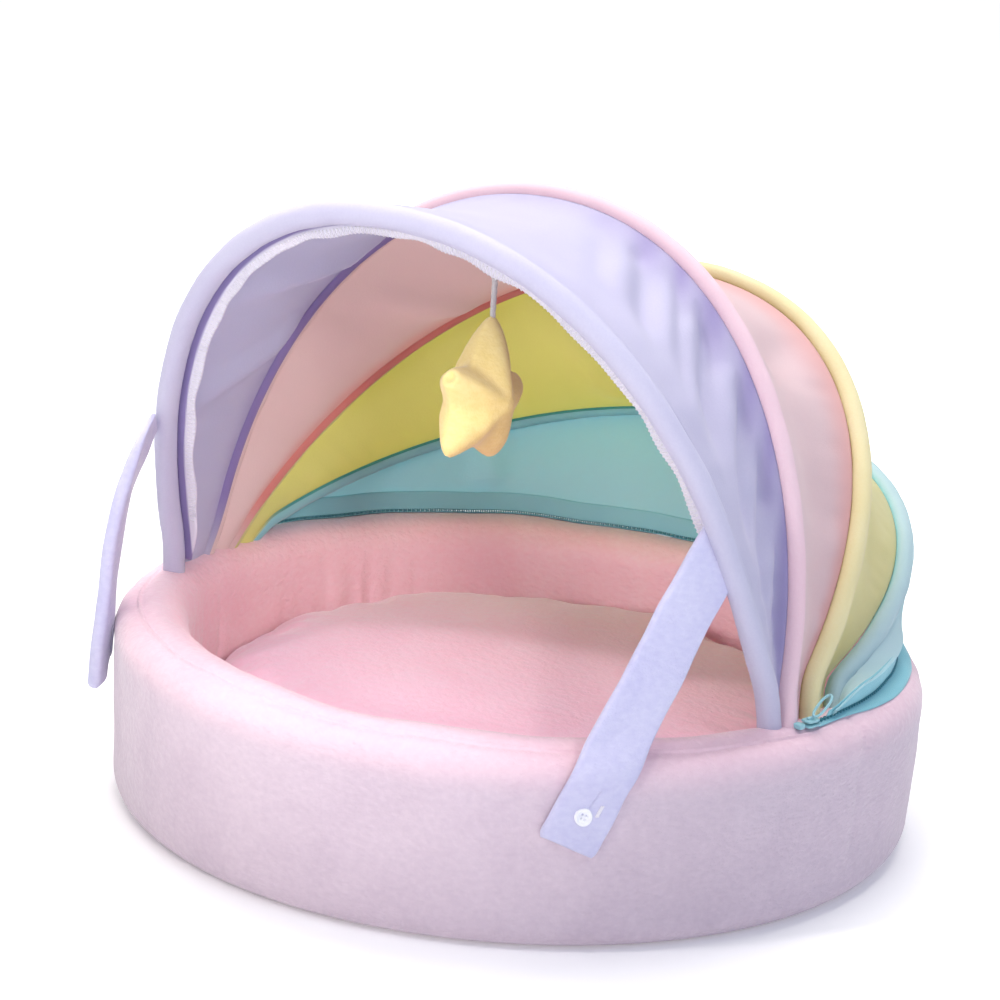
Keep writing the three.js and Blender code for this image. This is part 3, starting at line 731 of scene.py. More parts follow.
def put_piece(name, points, faces, material, slot, stands_for=(), uv=None, weld=False, **marks):
    """A smooth piece from points in millimetres and corner lists, with a UV map and named point values."""
    mesh = bpy.data.meshes.new(name)
    mesh.from_pydata((np.asarray(points, float).reshape(-1, 3) * MM).tolist(), [], list(map(list, faces)))
    if uv is not None:
        corner = np.empty(len(mesh.loops), np.int32)
        mesh.loops.foreach_get("vertex_index", corner)
        flat = (np.asarray(uv, float).reshape(-1, 2) * MM)[corner]
        mesh.uv_layers.new(name="cloth").data.foreach_set("uv", flat.astype(np.float32).ravel())
    for key, values in marks.items():
        mark = mesh.attributes.new(key, "FLOAT", "POINT")
        mark.data.foreach_set("value", np.asarray(values, np.float32).ravel())
    if weld:
        shape = bmesh.new()
        shape.from_mesh(mesh)
        bmesh.ops.remove_doubles(shape, verts=shape.verts, dist=0.01 * MM)
        bmesh.ops.dissolve_degenerate(shape, edges=shape.edges, dist=0.001 * MM)
        bmesh.ops.recalc_face_normals(shape, faces=shape.faces)
        shape.to_mesh(mesh)
        shape.free()
    mesh.polygons.foreach_set("use_smooth", np.ones(len(mesh.polygons), bool))
    mesh.materials.append(MATERIALS[material])
    mesh.update()
    piece = new_object(name, mesh)
    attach(piece, BODY)
    if stands_for:
        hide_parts(*stands_for)
    return piece


def grid_normals(points):
    """Unit normals of a grid of points: the way along crossed with the way across."""
    return unit(np.cross(np.gradient(points, axis=0), np.gradient(points, axis=1)))


def sheet_shell(middle, thickness, edge):
    """A closed sheet: its middle moved half the thickness both ways along its normals, thin at its edges."""
    rows, columns = middle.shape[:2]
    row = np.arange(rows)
    column = np.arange(columns)
    from_ends = np.minimum(row, rows - 1 - row)[:, None] * steps(middle).mean()
    from_sides = np.minimum(column, columns - 1 - column)[None] * steps(middle, 1).mean()
    inside = np.clip(np.minimum(from_ends, from_sides) / edge, 0, 1)
    half = thickness / 2 * mix(0.3, 1.0, np.sqrt(1 - (1 - inside) ** 2))
    shift = grid_normals(middle) * half[..., None]
    count = rows * columns
    front = grid_faces(rows, columns)
    numbers = np.arange(count).reshape(rows, columns)
    rim = np.concatenate([numbers[0, :-1], numbers[:-1, -1], numbers[-1, :0:-1], numbers[:0:-1, 0]])
    onward = np.roll(rim, -1)
    band = np.stack([rim, onward, onward + count, rim + count], axis=-1)
    faces = np.vstack([front, front[:, ::-1] + count, band])
    return np.concatenate([(middle + shift).reshape(-1, 3), (middle - shift).reshape(-1, 3)]), faces


def put_sheet(name, middle, thickness, material, slot, stands_for=(), edge=1.6, **marks):
    """A closed sheet with a flat UV map on both faces: mean running length along and across."""
    points, faces = sheet_shell(middle, thickness, edge)
    along = run_of(steps(middle).mean(axis=1))
    across = run_of(steps(middle, 1).mean(axis=0))
    face = points_of(along[:, None], across[None]).reshape(-1, 2)
    return put_piece(name, points, faces, material, slot, stands_for, uv=np.vstack([face, face]), **marks)


def tube_shell(path, toward, radius):
    """A closed tube with capped ends: a cosine and a sine round each path point, square to the path.

    toward is the way that the sine leans. radius has a row for each path point and a column for each step.
    """
    rows, columns = radius.shape
    way = unit(np.gradient(path, axis=0))
    out = unit(square_to(toward, way))
    turn = full_turn(columns)[None, :, None]
    ring = np.cross(way, out)[:, None] * np.cos(turn) + out[:, None] * np.sin(turn)
    points = path[:, None] + ring * radius[..., None]
    faces = grid_faces(rows, columns, round_columns=True)[:, ::-1].tolist()
    first = list(range(columns))
    last = [(rows - 1) * columns + k for k in range(columns)]
    return points.reshape(-1, 3), [*faces, first, last[::-1]]


def swell(piece, voxel, relaxing, pressure, cap, frames=20):
    """Remeshes a closed piece evenly, lets air swell it as cloth, and caps how far any point moves."""
    remesh = piece.modifiers.new("even", "REMESH")
    remesh.mode = "VOXEL"
    remesh.voxel_size = voxel * MM
    relax = piece.modifiers.new("relax", "SMOOTH")
    relax.iterations = relaxing
    even = bpy.data.meshes.new_from_object(piece.evaluated_get(bpy.context.evaluated_depsgraph_get()))
    piece.modifiers.clear()
    old = piece.data
    piece.data = even
    even.materials.clear()
    even.materials.append(old.materials[0])
    bpy.data.meshes.remove(old)
    rest = np.empty(len(even.vertices) * 3, np.float32)
    even.vertices.foreach_get("co", rest)
    cloth = piece.modifiers.new("swell", "CLOTH")
    cloth.settings.use_pressure = True
    cloth.settings.uniform_pressure_force = pressure
    cloth.settings.effector_weights.gravity = 0
    cloth.point_cache.frame_end = frames
    for number in range(1, frames + 1):
        SCENE.frame_set(number)
    swollen = piece.evaluated_get(bpy.context.evaluated_depsgraph_get()).to_mesh()
    moved = np.empty_like(rest)
    swollen.vertices.foreach_get("co", moved)
    piece.modifiers.clear()
    SCENE.frame_set(1)
    step = (moved - rest).reshape(-1, 3)
    length = np.linalg.norm(step, axis=1, keepdims=True).clip(1e-9)
    rest = (rest.reshape(-1, 3) + step * np.minimum(1, cap * MM / length)).ravel()
    even.vertices.foreach_set("co", rest.astype(np.float32))
    even.polygons.foreach_set("use_smooth", np.ones(len(even.polygons), bool))
    even.update()
    finer = piece.modifiers.new("finer", "SUBSURF")
    finer.levels = finer.render_levels = 1
    return rest.reshape(-1, 3) / MM


def reshape(piece, points):
    """Writes moved points, in millimetres, back to a piece."""
    piece.data.vertices.foreach_set("co", (points * MM).astype(np.float32).ravel())
    piece.data.update()


# Base


def rim_tilt(angle):
    """How much the rim rises toward its high side: a cosine of the angle from it."""
    return RIM_TILT * np.cos(np.radians(angle - RIM_HIGH_SIDE))


def rim_height(radius, angle):
    """Height of the rim's top: two quarter ellipses about the crown, a little higher on one side."""
    width = np.where(radius > CROWN_RADIUS, RIM_OUTER_WIDTH, RIM_INNER_WIDTH)
    share = np.clip(np.abs(radius - CROWN_RADIUS) / width, 0, 1)
    return RIM_HEIGHT - RIM_ROUND_HEIGHT * (1 - np.sqrt(1 - share * share)) + rim_tilt(angle)


def base_lumps(points):
    """How far the padding stands proud of the plain wall: two sizes of soft lump."""
    return waves("padding", points) + waves("small_padding", points)


def rim_top(radius, angle):
    """Height of the padded rim with its lumps, where the zip lies."""
    height = rim_height(radius, angle)
    return height + base_lumps(polar(radius, angle, height))


def make_base():
    """A profile turned about the axis and moved along its normals by soft lumps, by a sewn ridge in a dip on
    the rim, by the wall's upright join and by narrow gathers in the well. The last three are bells.
    """
    foot = BASE_FOOT_RADIUS - BASE_FOOT_ROUND
    profile = np.vstack([
        straight((0, 0), (foot, 0), 8)[:-1],
        arc(foot, BASE_FOOT_ROUND, BASE_FOOT_ROUND, BASE_FOOT_ROUND, -90, 0, 14)[:-1],
        straight((BASE_FOOT_RADIUS, BASE_FOOT_ROUND), (BASE_RADIUS, SHOULDER_HEIGHT), 30)[:-1],
        arc(CROWN_RADIUS, SHOULDER_HEIGHT, RIM_OUTER_WIDTH, RIM_ROUND_HEIGHT, 0, 90, 64)[:-1],
        arc(CROWN_RADIUS, SHOULDER_HEIGHT, RIM_INNER_WIDTH, RIM_ROUND_HEIGHT, 90, 180, 22)[:-1],
        straight((WELL_RADIUS, SHOULDER_HEIGHT), (WELL_RADIUS, FLOOR_THICKNESS), 26)[:-1],
        straight((WELL_RADIUS, FLOOR_THICKNESS), (0, FLOOR_THICKNESS), 8),
    ])
    run = run_of(steps(profile))
    way = unit(np.gradient(profile, axis=0))
    angle = np.linspace(-180, 180, 400, endpoint=False)[:, None]
    radius, height = profile[None, :, 0], profile[None, :, 1]
    plain = polar(radius, angle, height)
    crown_run = run[np.argmax(profile[:, 1])]
    outer_rim = (profile[:, 1] >= SHOULDER_HEIGHT) & (run <= crown_run)
    seam_run = np.interp(-RIM_SEAM_RADIUS, -profile[outer_rim, 0], run[outer_rim])
    from_seam = run[None] - seam_run
    outside = (run < crown_run)[None]
    wavy = from_seam + waves("rim_seam", plain)
    off_zip = smooth(np.abs(degrees_off(angle, ZIP_MIDDLE)), *RIDGE_OFF_ZIP)
    ridge = off_zip * (RIDGE_HEIGHT * bell(wavy, RIDGE_WIDTH) - RIDGE_DIP * bell(wavy, RIDGE_DIP_WIDTH))
    join = WALL_JOIN_DEPTH * bell(angle - WALL_JOIN_ANGLE, WALL_JOIN_WIDTH) * outside * (from_seam < 0)
    rng = np.random.default_rng(4)
    centres = rng.uniform(-180, 180, GATHERS)
    strengths = rng.uniform(0.3, 1.0, GATHERS)
    gather = dot(strengths, bell(degrees_off(angle, centres), GATHER_WIDTH))
    in_well = np.clip((GATHER_TOP - height) / GATHER_FADE, 0, 1) * ~outside
    move = smooth(height, *PADDING_FULL) * (base_lumps(plain) + ridge - join)
    move = move - GATHER_DEPTH * gather * in_well
    radius = radius + way[None, :, 1] * move
    height = height - way[None, :, 0] * move
    height = height + smooth(height, FLOOR_THICKNESS, SHOULDER_HEIGHT) * rim_tilt(angle)
    points = polar(radius, angle, height)
    inner = np.broadcast_to(smooth(run[None] - crown_run, *LINING_FADE), points.shape[:2])
    # Painted shade: the wall mark runs from the rim seam down. It gives the upright side a deeper, cooler
    # colour to stand in for the lesser light it gets.
    wall = np.broadcast_to(smooth(-from_seam, *PAINTED_WALL_SHADE_FADE), points.shape[:2])
    faces = grid_faces(len(angle), len(profile), round_rows=True)
    base = put_piece(
        "base_plush", points, faces, "base", "base_plush", ["bed_base"], weld=True, inner=inner, wall=wall
    )


# Cushion


def make_cushion():
    """A crowned round pad turned from three quarter ellipses and swollen as cloth, then dented by soft waves
    and puckered at its edge.
    """
    bottom = FLOOR_THICKNESS + CUSHION_LIFT
    outer = CUSHION_RADIUS - CUSHION_SWELL
    seam, edge = CUSHION_SEAM_HEIGHT, CUSHION_EDGE_HEIGHT
    crown_rise = CUSHION_CROWN_HEIGHT - edge - CUSHION_SWELL
    profile = np.vstack([
        straight((0, bottom), (CUSHION_FOOT_RADIUS, bottom), 10)[:-1],
        arc(CUSHION_FOOT_RADIUS, seam, outer - CUSHION_FOOT_RADIUS, seam - bottom, -90, 0, 10)[:-1],
        arc(CUSHION_EDGE_RADIUS, seam, outer - CUSHION_EDGE_RADIUS, edge - seam, 0, 90, 10)[:-1],
        arc(0, edge, CUSHION_EDGE_RADIUS, crown_rise, 0, 90, 16),
    ])
    profile[-1, 0] = 0
    angle = np.linspace(-180, 180, 120, endpoint=False)[:, None]
    points = polar(profile[None, :, 0], angle, profile[None, :, 1])
    faces = grid_faces(len(angle), len(profile), round_rows=True)
    cushion = put_piece(
        "cushion_plush", points, faces, "cushion", "cushion_plush", ["seat_cushion"], weld=True
    )
    place = swell(cushion, voxel=5, relaxing=20, pressure=4, cap=6)
    reach = np.hypot(place[:, 0], place[:, 1])
    turn = np.degrees(np.arctan2(place[:, 1], place[:, 0]))
    top = smooth(place[:, 2], 45, 70)
    puckers = waves("puckers", np.column_stack([turn * PUCKER_ROUND, reach * PUCKER_OUT]))
    place[:, 2] += top * (puckers * smooth(reach, 120, 185) + waves("dents", place[:, :2]))
    place[:, 2] = np.maximum(place[:, 2], bottom)
    reshape(cushion, place)


# Ribs and panels


def rib_line(rib):
    """An arch in a leaning plane: powers of cosine along the feet and of sine up the plane."""
    lean = math.radians(rib["lean"])

    def stand(y, side):
        x = side * math.sqrt(rib["foot"] ** 2 - y**2)
        top = rim_height(rib["foot"], math.degrees(math.atan2(y, x)))
        return np.array([x, y, top + RIB_LIFT + rib["casing"] * abs(math.cos(lean))])

    left, right = stand(rib["left"], -1), stand(rib["right"], 1)
    turn = np.linspace(0, np.pi, RIB_STEPS)[:, None]
    power = 2 / rib["fullness"]
    side = -np.sign(np.cos(turn)) * np.abs(np.cos(turn)) ** power
    height = np.abs(np.sin(turn)) ** power
    up = rib["rise"] * np.array([0, -math.cos(lean), math.sin(lean)])
    return mix(left, right, (side + 1) / 2) + up * height


def rooted(name, line):
    """A rib's arch with its ends drawn down and outward into the rim's padding, and its right end swept back
    toward the zip, each dying away as a bell.
    """
    rib = RIBS[name]
    run = run_of(steps(line))[:, None]
    from_right = run[-1] - run
    buried = rib["casing"] * ROOT_DEPTH * (1 + abs(math.cos(math.radians(rib["lean"]))))
    way = unit(line * np.array([1, 1, 0])) * ROOT_SPREAD[name] - UP
    swept = RIB_SWEEP[name] * bell(from_right, SWEEP_LENGTH)
    return line + way * buried * bell(np.minimum(run, from_right), ROOT_LENGTH) + swept * np.array([0, 1, 0])


def upper_tape(angle, share):
    """The zip's upper tape: a band that stands on the coil's line, low at its ends and flared outward."""
    full = between(angle, UPPER_TAPE_RIGHT, UPPER_TAPE_LEFT, UPPER_TAPE_EASE)
    stands = UPPER_TAPE_HEIGHT * share * mix(UPPER_TAPE_END, 1.0, full)
    height = rim_top(ZIP_RADIUS, angle) + UPPER_TAPE_FOOT + stands
    return polar(ZIP_RADIUS + UPPER_TAPE_FLARE * share, angle, height)


RIB_LINES = {name: rooted(name, rib_line(rib)) for name, rib in RIBS.items()}
ZIP_TURN = np.linspace(UPPER_TAPE_LEFT, UPPER_TAPE_RIGHT, 2001)
RIB_LINES["zip"] = upper_tape(ZIP_TURN, PANEL_ON_TAPE) + polar(PANEL_OFF_TAPE, ZIP_TURN, 0.0)


def make_rib(name):
    """A round casing along the rib's arch, uneven where its cloth is gathered."""
    rib = RIBS[name]
    share = np.linspace(0, 1, 361)
    path, _, length = on_line(RIB_LINES[name], share)
    turn = full_turn(20)[None]
    run = points_of((share * length)[:, None], turn * rib["casing"])
    radius = rib["casing"] + waves("casing_gathers", run, rib["foot"]) + waves("casing_ripple", run)
    points, faces = tube_shell(path, path - CANOPY_HEART, radius)
    cloth = (FRONT_PANEL if name == "front" else name) + "_cloth"
    inner = np.broadcast_to(smooth(-np.sin(turn), 0.4, 0.85), radius.shape)
    put_piece("rib_casing_" + name, points, faces, "rib_" + name, cloth, ["rib_" + name], inner=inner)


def fold_depth(name, along, across, length):
    """Bell-shaped troughs across the cloth, slanted and dying away across."""
    depth = 0
    for fold in FOLDS[name]:
        centre = fold["along"] + fold["slant"] * (across - fold["across"])
        trough = bell((along - centre) * length, fold["width"])
        depth = depth + fold["depth"] * trough * bell(across - fold["across"], fold["reach"])
    return depth


def pleat_depth(points, along, across):
    """Folds that hang straight down: bells of distance along a level line, deepest past the middle."""
    place = points @ PLEAT_WAY
    depth = sum(row["depth"] * bell(place - row["at"], row["width"]) for row in PLEATS)
    where = smooth(along, *PLEAT_START) * smooth(-along, -0.97, -0.9)
    return depth * where * smooth(across, 0.2, 0.62) * smooth(1 - across, 0, 0.13)


def clear_reach(casing, offset):
    """How far along the span a sheet off the casing's middle has to start, to stay clear of it."""
    inner = max(abs(offset) - 1, 0)
    return math.sqrt((casing + SEAM_GAP) ** 2 - inner**2)


def panel_surface(name, along, across):
    """Cloth between two ribs. Each line across leaves the first rib's outer side along its round, sags as
    half a sine wave, takes bell-shaped folds and gathers at the seams, and ends tucked under the next rib.

    Returns the grid and, at the next rib, its middle, direction and the inward direction.
    """
    panel = PANELS[name]
    start, way, length = on_line(RIB_LINES[panel["first"]], along)
    end, end_way, _ = on_line(RIB_LINES[panel["next"]], along)
    casing = RIBS[panel["first"]]["casing"]
    width = np.linalg.norm(end - start, axis=1)
    span = unit(end - start)
    depthwise = np.cross(span, way)
    inward = facing(unit(depthwise), CANOPY_HEART - start)
    leave = math.radians(LEAVE_ANGLE)
    start_reach = casing * math.sin(leave) / np.linalg.norm(depthwise, axis=1)
    end_reach = 0 * width
    if panel["next"] in RIBS:
        clear = clear_reach(RIBS[panel["next"]]["casing"], panel["tuck"])
        end_reach = clear / np.linalg.norm(np.cross(span, end_way), axis=1)
    free = (width - start_reach - end_reach)[:, None]
    lift = (casing * math.cos(leave) - PANEL_CLOTH / 2 - PANEL_SINK) * smooth(free, 4, 40)
    roomy = smooth(free, 5, 60)
    share = across[None]
    onward = start_reach[:, None] + free * share
    bow = np.sin(np.pi * share)
    folds = FOLD_GAIN * fold_depth(name, along[:, None], share, length) * np.minimum(1, bow * 1.6)
    spots = points_of(along[:, None] * length, free * share)
    from_seam = np.minimum(share, 1 - share) * free
    gathered = np.exp(-from_seam / SEAM_GATHER_FADE) * smooth(share, 0, 0.3) * smooth(1 - share, 0, 0.16)
    gathers = waves("seam_gathers", spots * np.array([1, 0.15]), len(name)) * gathered
    slack = waves("slack", spots * np.array([1, 0.35]), len(name)) * bow
    drop = mix(-lift, panel["tuck"], smooth(share, 0, 1)) + panel["sag"] * free * bow
    drop = drop + (folds + panel["gather"] * gathers + slack) * roomy
    points = start[:, None] + span[:, None] * onward[..., None] + inward[:, None] * drop[..., None]
    if name == FRONT_PANEL:
        points = points + inward[:, None] * pleat_depth(points, along[:, None], share)[..., None]
    return points, end, end_way, inward


def seam_flap(last, end, end_way, inward, turns):
    """The cloth's seam allowance: from the panel's last line it follows the next rib's round to the inside,
    by turns degrees that have a row for each step along.
    """
    off = square_to(last - end, end_way)
    reach = np.linalg.norm(off, axis=1, keepdims=True)
    first = off / reach
    second = facing(np.cross(end_way, first), inward)
    turn = np.radians(turns)[..., None]
    bend = first[:, None] * (np.cos(turn) - 1) + second[:, None] * np.sin(turn)
    return last[:, None] + bend * reach[:, None]


def make_panel(name):
    """The panel's grid, with its seam allowance round the next rib, thickened to a closed sheet. Its seam
    mark grows as a square of the way across.
    """
    panel = PANELS[name]
    along = np.linspace(PANEL_ENDS, 1 - PANEL_ENDS, 261)
    across = np.linspace(0, 1, 61)
    middle, end, end_way, inward = panel_surface(name, along, across)
    ends = smooth(np.minimum(along, 1 - along), 0.01, 0.07)[:, None]
    # Painted shade: the seam mark deepens the colour over the last third toward the next rib, standing in
    # for the shading in that crease. Only the allowance under the rib is a real double layer.
    seam = ends * panel["next_rib_shade"] * smooth(across, 0.7, 1.0)[None] ** 2
    if name == FRONT_PANEL:
        # Painted shade in the front panel's pleat troughs: the seam mark is made deeper where the pleats
        # fold in.
        troughs = sum(bell(middle @ PLEAT_WAY - row["at"], row["width"]) for row in PLEATS)
        seam = seam * (0.5 + 1.2 * np.clip(troughs, 0, 1) * smooth(along, *PLEAT_START)[:, None])
    inside = np.sign(dot(grid_normals(middle), inward[:, None]).mean())
    if panel["next"] in RIBS:
        turns = mix(0.7, 1.0, ends) * np.linspace(0, panel["flap"], 9)[None, 1:]
        flap = seam_flap(middle[:, -1], end, end_way, inward, turns)
        middle = np.concatenate([middle, flap], axis=1)
        seam = np.hstack([seam, np.broadcast_to(ends, flap.shape[:2])])
    inner = np.repeat([(1 + inside) / 2, (1 - inside) / 2], seam.size)
    seam = np.tile(seam.ravel(), 2) * (1 if panel["next_rib_shade"] else inner)
    piece = put_sheet(
        "panel_cloth_" + name, middle, PANEL_CLOTH, name, name + "_cloth", ["panel_" + name],
        seam=seam, inner=inner,
    )
    trims = make_front_hem() if name == FRONT_PANEL else []


def rib_frame(share):
    """Points on the front rib's arch, the directions into the arch and behind it, and the arch's length."""
    line = RIB_LINES["front"]
    path, way, length = on_line(line, share)
    back, _, _ = on_line(RIB_LINES["pink"], share)
    heart = mix(line[0], line[-1], 0.5) * 0.6 + line[RIB_STEPS // 2] * 0.4
    inward = unit(square_to(heart - path, way))
    return path, inward, facing(np.cross(way, inward), back - path), length


def hem_surface(share, across):
    """The raw hem that stands inward behind the front rib: a narrow band with a wavy free edge."""
    path, inward, behind, length = rib_frame(share)
    run = (share * length)[:, None]
    shown = (smooth(share, 0.0, 0.06) * smooth(-share, -0.9, -0.85))[:, None]
    free_edge = mix(HEM_NEAR + HEM_END_WIDTH, HEM_FAR + waves("hem_edge", run)[:, None], shown)
    deep = mix(HEM_NEAR, free_edge, across[None])
    behind_by = mix(HEM_BACK_LEFT, HEM_BACK_RIGHT, smooth(share, 0.46, 0.62))[:, None]
    rear = behind_by + (1.0 + waves("hem_curl", run)[:, None]) * across[None] ** 2
    points = path[:, None] + inward[:, None] * deep[..., None] + behind[:, None] * rear[..., None]
    return points, behind, length, deep


def make_front_hem():
    """The hem band as a closed sheet, and an overlock thread over its free edge that swings as a cosine."""
    share = np.linspace(0.02, 0.98, 321)
    middle, _, _, deep = hem_surface(share, np.linspace(0, 1, 15))
    # Painted shade: the band's part nearest the rib takes the deep seam colour, standing in for the shadow
    # in the gap between rib and hem.
    shade = 1 - smooth(deep, HEM_SHADE - HEM_SHADE_FADE, HEM_SHADE + HEM_SHADE_FADE)
    seam = shade * smooth(-share, -0.62, -0.5)[:, None]
    hem = put_sheet("front_hem", middle, HEM_CLOTH, "hem", "lavender_cloth", seam=np.tile(seam.ravel(), 2))
    share = np.linspace(0.055, 0.89, 2800)
    edge, behind, length, _ = hem_surface(share, np.array([0.6, 1.0]))
    swing = 0.5 + 0.5 * np.cos(2 * np.pi * share * length / OVERLOCK_PITCH)
    path = mix(edge[:, 0], edge[:, 1], swing[:, None]) - behind * OVERLOCK_LIFT
    points, faces = tube_shell(path, -behind, np.full((len(path), 4), OVERLOCK_RADIUS))
    thread = put_piece("overlock_thread", points, faces, "thread", "lavender_cloth")
    return [hem, thread]


# Zip


def make_lower_tape():
    """A flat band on the rim beside the coil, narrow at its ends and slightly rippled at its free edge."""
    angle = np.linspace(ZIP_RIGHT, ZIP_LEFT, 301)[:, None]
    share = np.linspace(0, 1, 9)[None]
    full = between(angle, ZIP_RIGHT, ZIP_LEFT, LOWER_TAPE_EASE)
    outer = mix(LOWER_TAPE_INNER + LOWER_TAPE_END, LOWER_TAPE_OUTER, full)
    radius = mix(LOWER_TAPE_INNER, outer, share)
    ripple = waves("lower_tape", polar(radius, angle, 0)) * share
    middle = polar(radius, angle, rim_top(radius, angle) + LOWER_TAPE_LIFT + ripple)
    lower = put_sheet("zip_lower_tape", middle, TAPE_CLOTH, "tape", "zip_tape", ["zip_tape_lower"])


def make_upper_tape():
    """The standing band, leaning in and out in soft waves at its free edge."""
    angle = np.linspace(UPPER_TAPE_RIGHT, UPPER_TAPE_LEFT, 301)[:, None]
    share = np.linspace(0, 1, 9)[None]
    middle = upper_tape(angle, share)
    lean = waves("upper_tape", middle) * share
    middle = middle + polar(1.0, angle, 0) * lean[..., None]
    upper = put_sheet("zip_upper_tape", middle, TAPE_CLOTH, "tape", "zip_tape", ["zip_tape_upper"])


def rounded_block(size, squareness, columns=28, rows=14):
    """A rounded block: powers of two angles' sines and cosines, nearer a box as squareness falls."""
    turn = np.linspace(-np.pi, np.pi, columns, endpoint=False)[:, None]
    lift = np.linspace(-np.pi / 2, np.pi / 2, rows)[None]

    def power(wave):
        return np.sign(wave) * np.abs(wave) ** squareness

    level = power(np.cos(lift))
    shape = points_of(power(np.cos(turn)) * level, power(np.sin(turn)) * level, power(np.sin(lift)))
    return (shape * np.array(size) / 2).reshape(-1, 3), grid_faces(columns, rows, round_rows=True)


def on_zip(angle, lift):
    """Places on the zip's line, and the directions along it to the back and toward the bed's axis."""
    middle = polar(ZIP_RADIUS, angle, rim_top(ZIP_RADIUS, angle) + lift)
    return middle, polar(1.0, angle + 90, 0), polar(-1.0, angle, 0)


def set_on(middle, along, inward, local):
    """Points told along, inward and up from a place on the zip's line."""
    return middle + along * local[..., :1] + inward * local[..., 1:2] + UP * local[..., 2:]


def make_teeth():
    """One small rounded tooth at each step of the coil, set to each side in turn."""
    count = int(math.radians(ZIP_LEFT - ZIP_RIGHT) * ZIP_RADIUS / TOOTH_PITCH)
    rows = on_zip(np.linspace(ZIP_RIGHT, ZIP_LEFT, count), TOOTH_LIFT)
    tooth, faces = rounded_block(TOOTH_SIZE, 0.6, columns=8, rows=6)
    aside = TOOTH_ASIDE * (-1) ** np.arange(count)
    local = tooth[None] + aside[:, None, None] * np.array([0, 1, 0])
    points = set_on(*(row[:, None] for row in rows), local)
    every = (faces[None] + np.arange(count)[:, None, None] * len(tooth)).reshape(-1, 4)
    put_piece("zip_teeth", points, every, "coil", "zip_coil", ["zip_coil"], weld=True)


def make_slider():
    """Rounded blocks: two plates with a bridge between them, a lug on top and a stop box behind."""
    points, faces, used = [], [], 0
    for block in SLIDER_BLOCKS:
        shape, corners = rounded_block(block["size"], block["square"])
        points.append(set_on(*on_zip(SLIDER_AT, SLIDER_LIFT), shape + np.array(block["at"])))
        faces.append(corners + used)
        used += len(shape)
    points, faces = np.vstack(points), np.vstack(faces)
    put_piece("zip_slider_body", points, faces, "slider", "zip_slider", ["zip_slider"], weld=True)


def make_end_loop():
    """The zip's closed end: the tape turned back as a small standing loop, a flat band round an oval."""
    turn = full_turn(48)[:, None]
    band = full_turn(12)[None]
    reach = 1 + END_LOOP_BAND * np.cos(band)
    length, width, height = END_LOOP_SIZE
    local = points_of(length * reach * np.cos(turn), width * np.sin(band), height * reach * np.sin(turn))
    points = set_on(*on_zip(END_LOOP_ANGLE, END_LOOP_LIFT), local)
    faces = grid_faces(turn.size, band.size, round_rows=True, round_columns=True)
    uv = points_of(turn * 5, band * 1.5)
    put_piece("zip_end_loop", points, faces, "tape", "zip_tape", uv=uv, weld=True)


def make_pull_ring():
    """The slider's pull: a round wire bent as a flat ring, which leans up from the slider's lug."""
    middle, along, inward = on_zip(SLIDER_AT, SLIDER_LIFT)
    rise = math.radians(PULL_RISE)
    turn = full_turn(72)[:, None]
    onward = PULL_HALF_LENGTH * (1 + np.sign(np.cos(turn)) * np.abs(np.cos(turn)) ** 0.7)
    reach = along * math.cos(rise) + UP * math.sin(rise)
    path = set_on(middle, along, inward, np.array(PULL_FOOT)) + reach * onward
    path = path + inward * PULL_HALF_WIDTH * np.sin(turn)
    way = unit(np.roll(path, -1, axis=0) - np.roll(path, 1, axis=0))
    face = np.cross(reach, inward)
    side = np.cross(way, face)[:, None]
    wire = full_turn(10)[None, :, None]
    ring = path[:, None] + PULL_WIRE * (side * np.cos(wire) + face * np.sin(wire))
    faces = grid_faces(turn.size, wire.size, round_rows=True, round_columns=True)
    put_piece("zip_pull_ring", ring, faces, "slider", "zip_slider", ["zip_pull"], weld=True)


# Straps and buttons


def through(rows, share):
    """A smooth line through a few points: cubic pieces whose slopes come from each point's neighbours."""
    rows = np.asarray(rows, float)
    gaps = np.sqrt(steps(rows))
    knots = run_of(gaps)
    slopes = np.gradient(rows, knots, axis=0)
    spot = np.linspace(0, knots[-1], 1200)
    piece = np.clip(np.searchsorted(knots, spot, side="right") - 1, 0, len(rows) - 2)
    gap = gaps[piece][:, None]
    part = ((spot - knots[piece]) / gaps[piece])[:, None]
    line = (
        (2 * part**3 - 3 * part**2 + 1) * rows[piece]
        + (part**3 - 2 * part**2 + part) * gap * slopes[piece]
        + (3 * part**2 - 2 * part**3) * rows[piece + 1]
        + (part**3 - part**2) * gap * slopes[piece + 1]
    )
    return on_line(line, share)


def on_wall(height):
    """Distance from the axis of a strap's middle where it lies on the outer wall."""
    share = (height - BASE_FOOT_ROUND) / (SHOULDER_HEIGHT - BASE_FOOT_ROUND)
    return mix(BASE_FOOT_RADIUS, BASE_RADIUS, min(share, 1)) + WALL_CLEARANCE


def strap_share(side, along):
    """How full the strap's width and padding are down its length, less where its top is drawn in."""
    return mix(STRAPS[side]["top"], 1.0, smooth(along, 0, 0.3))[:, None]


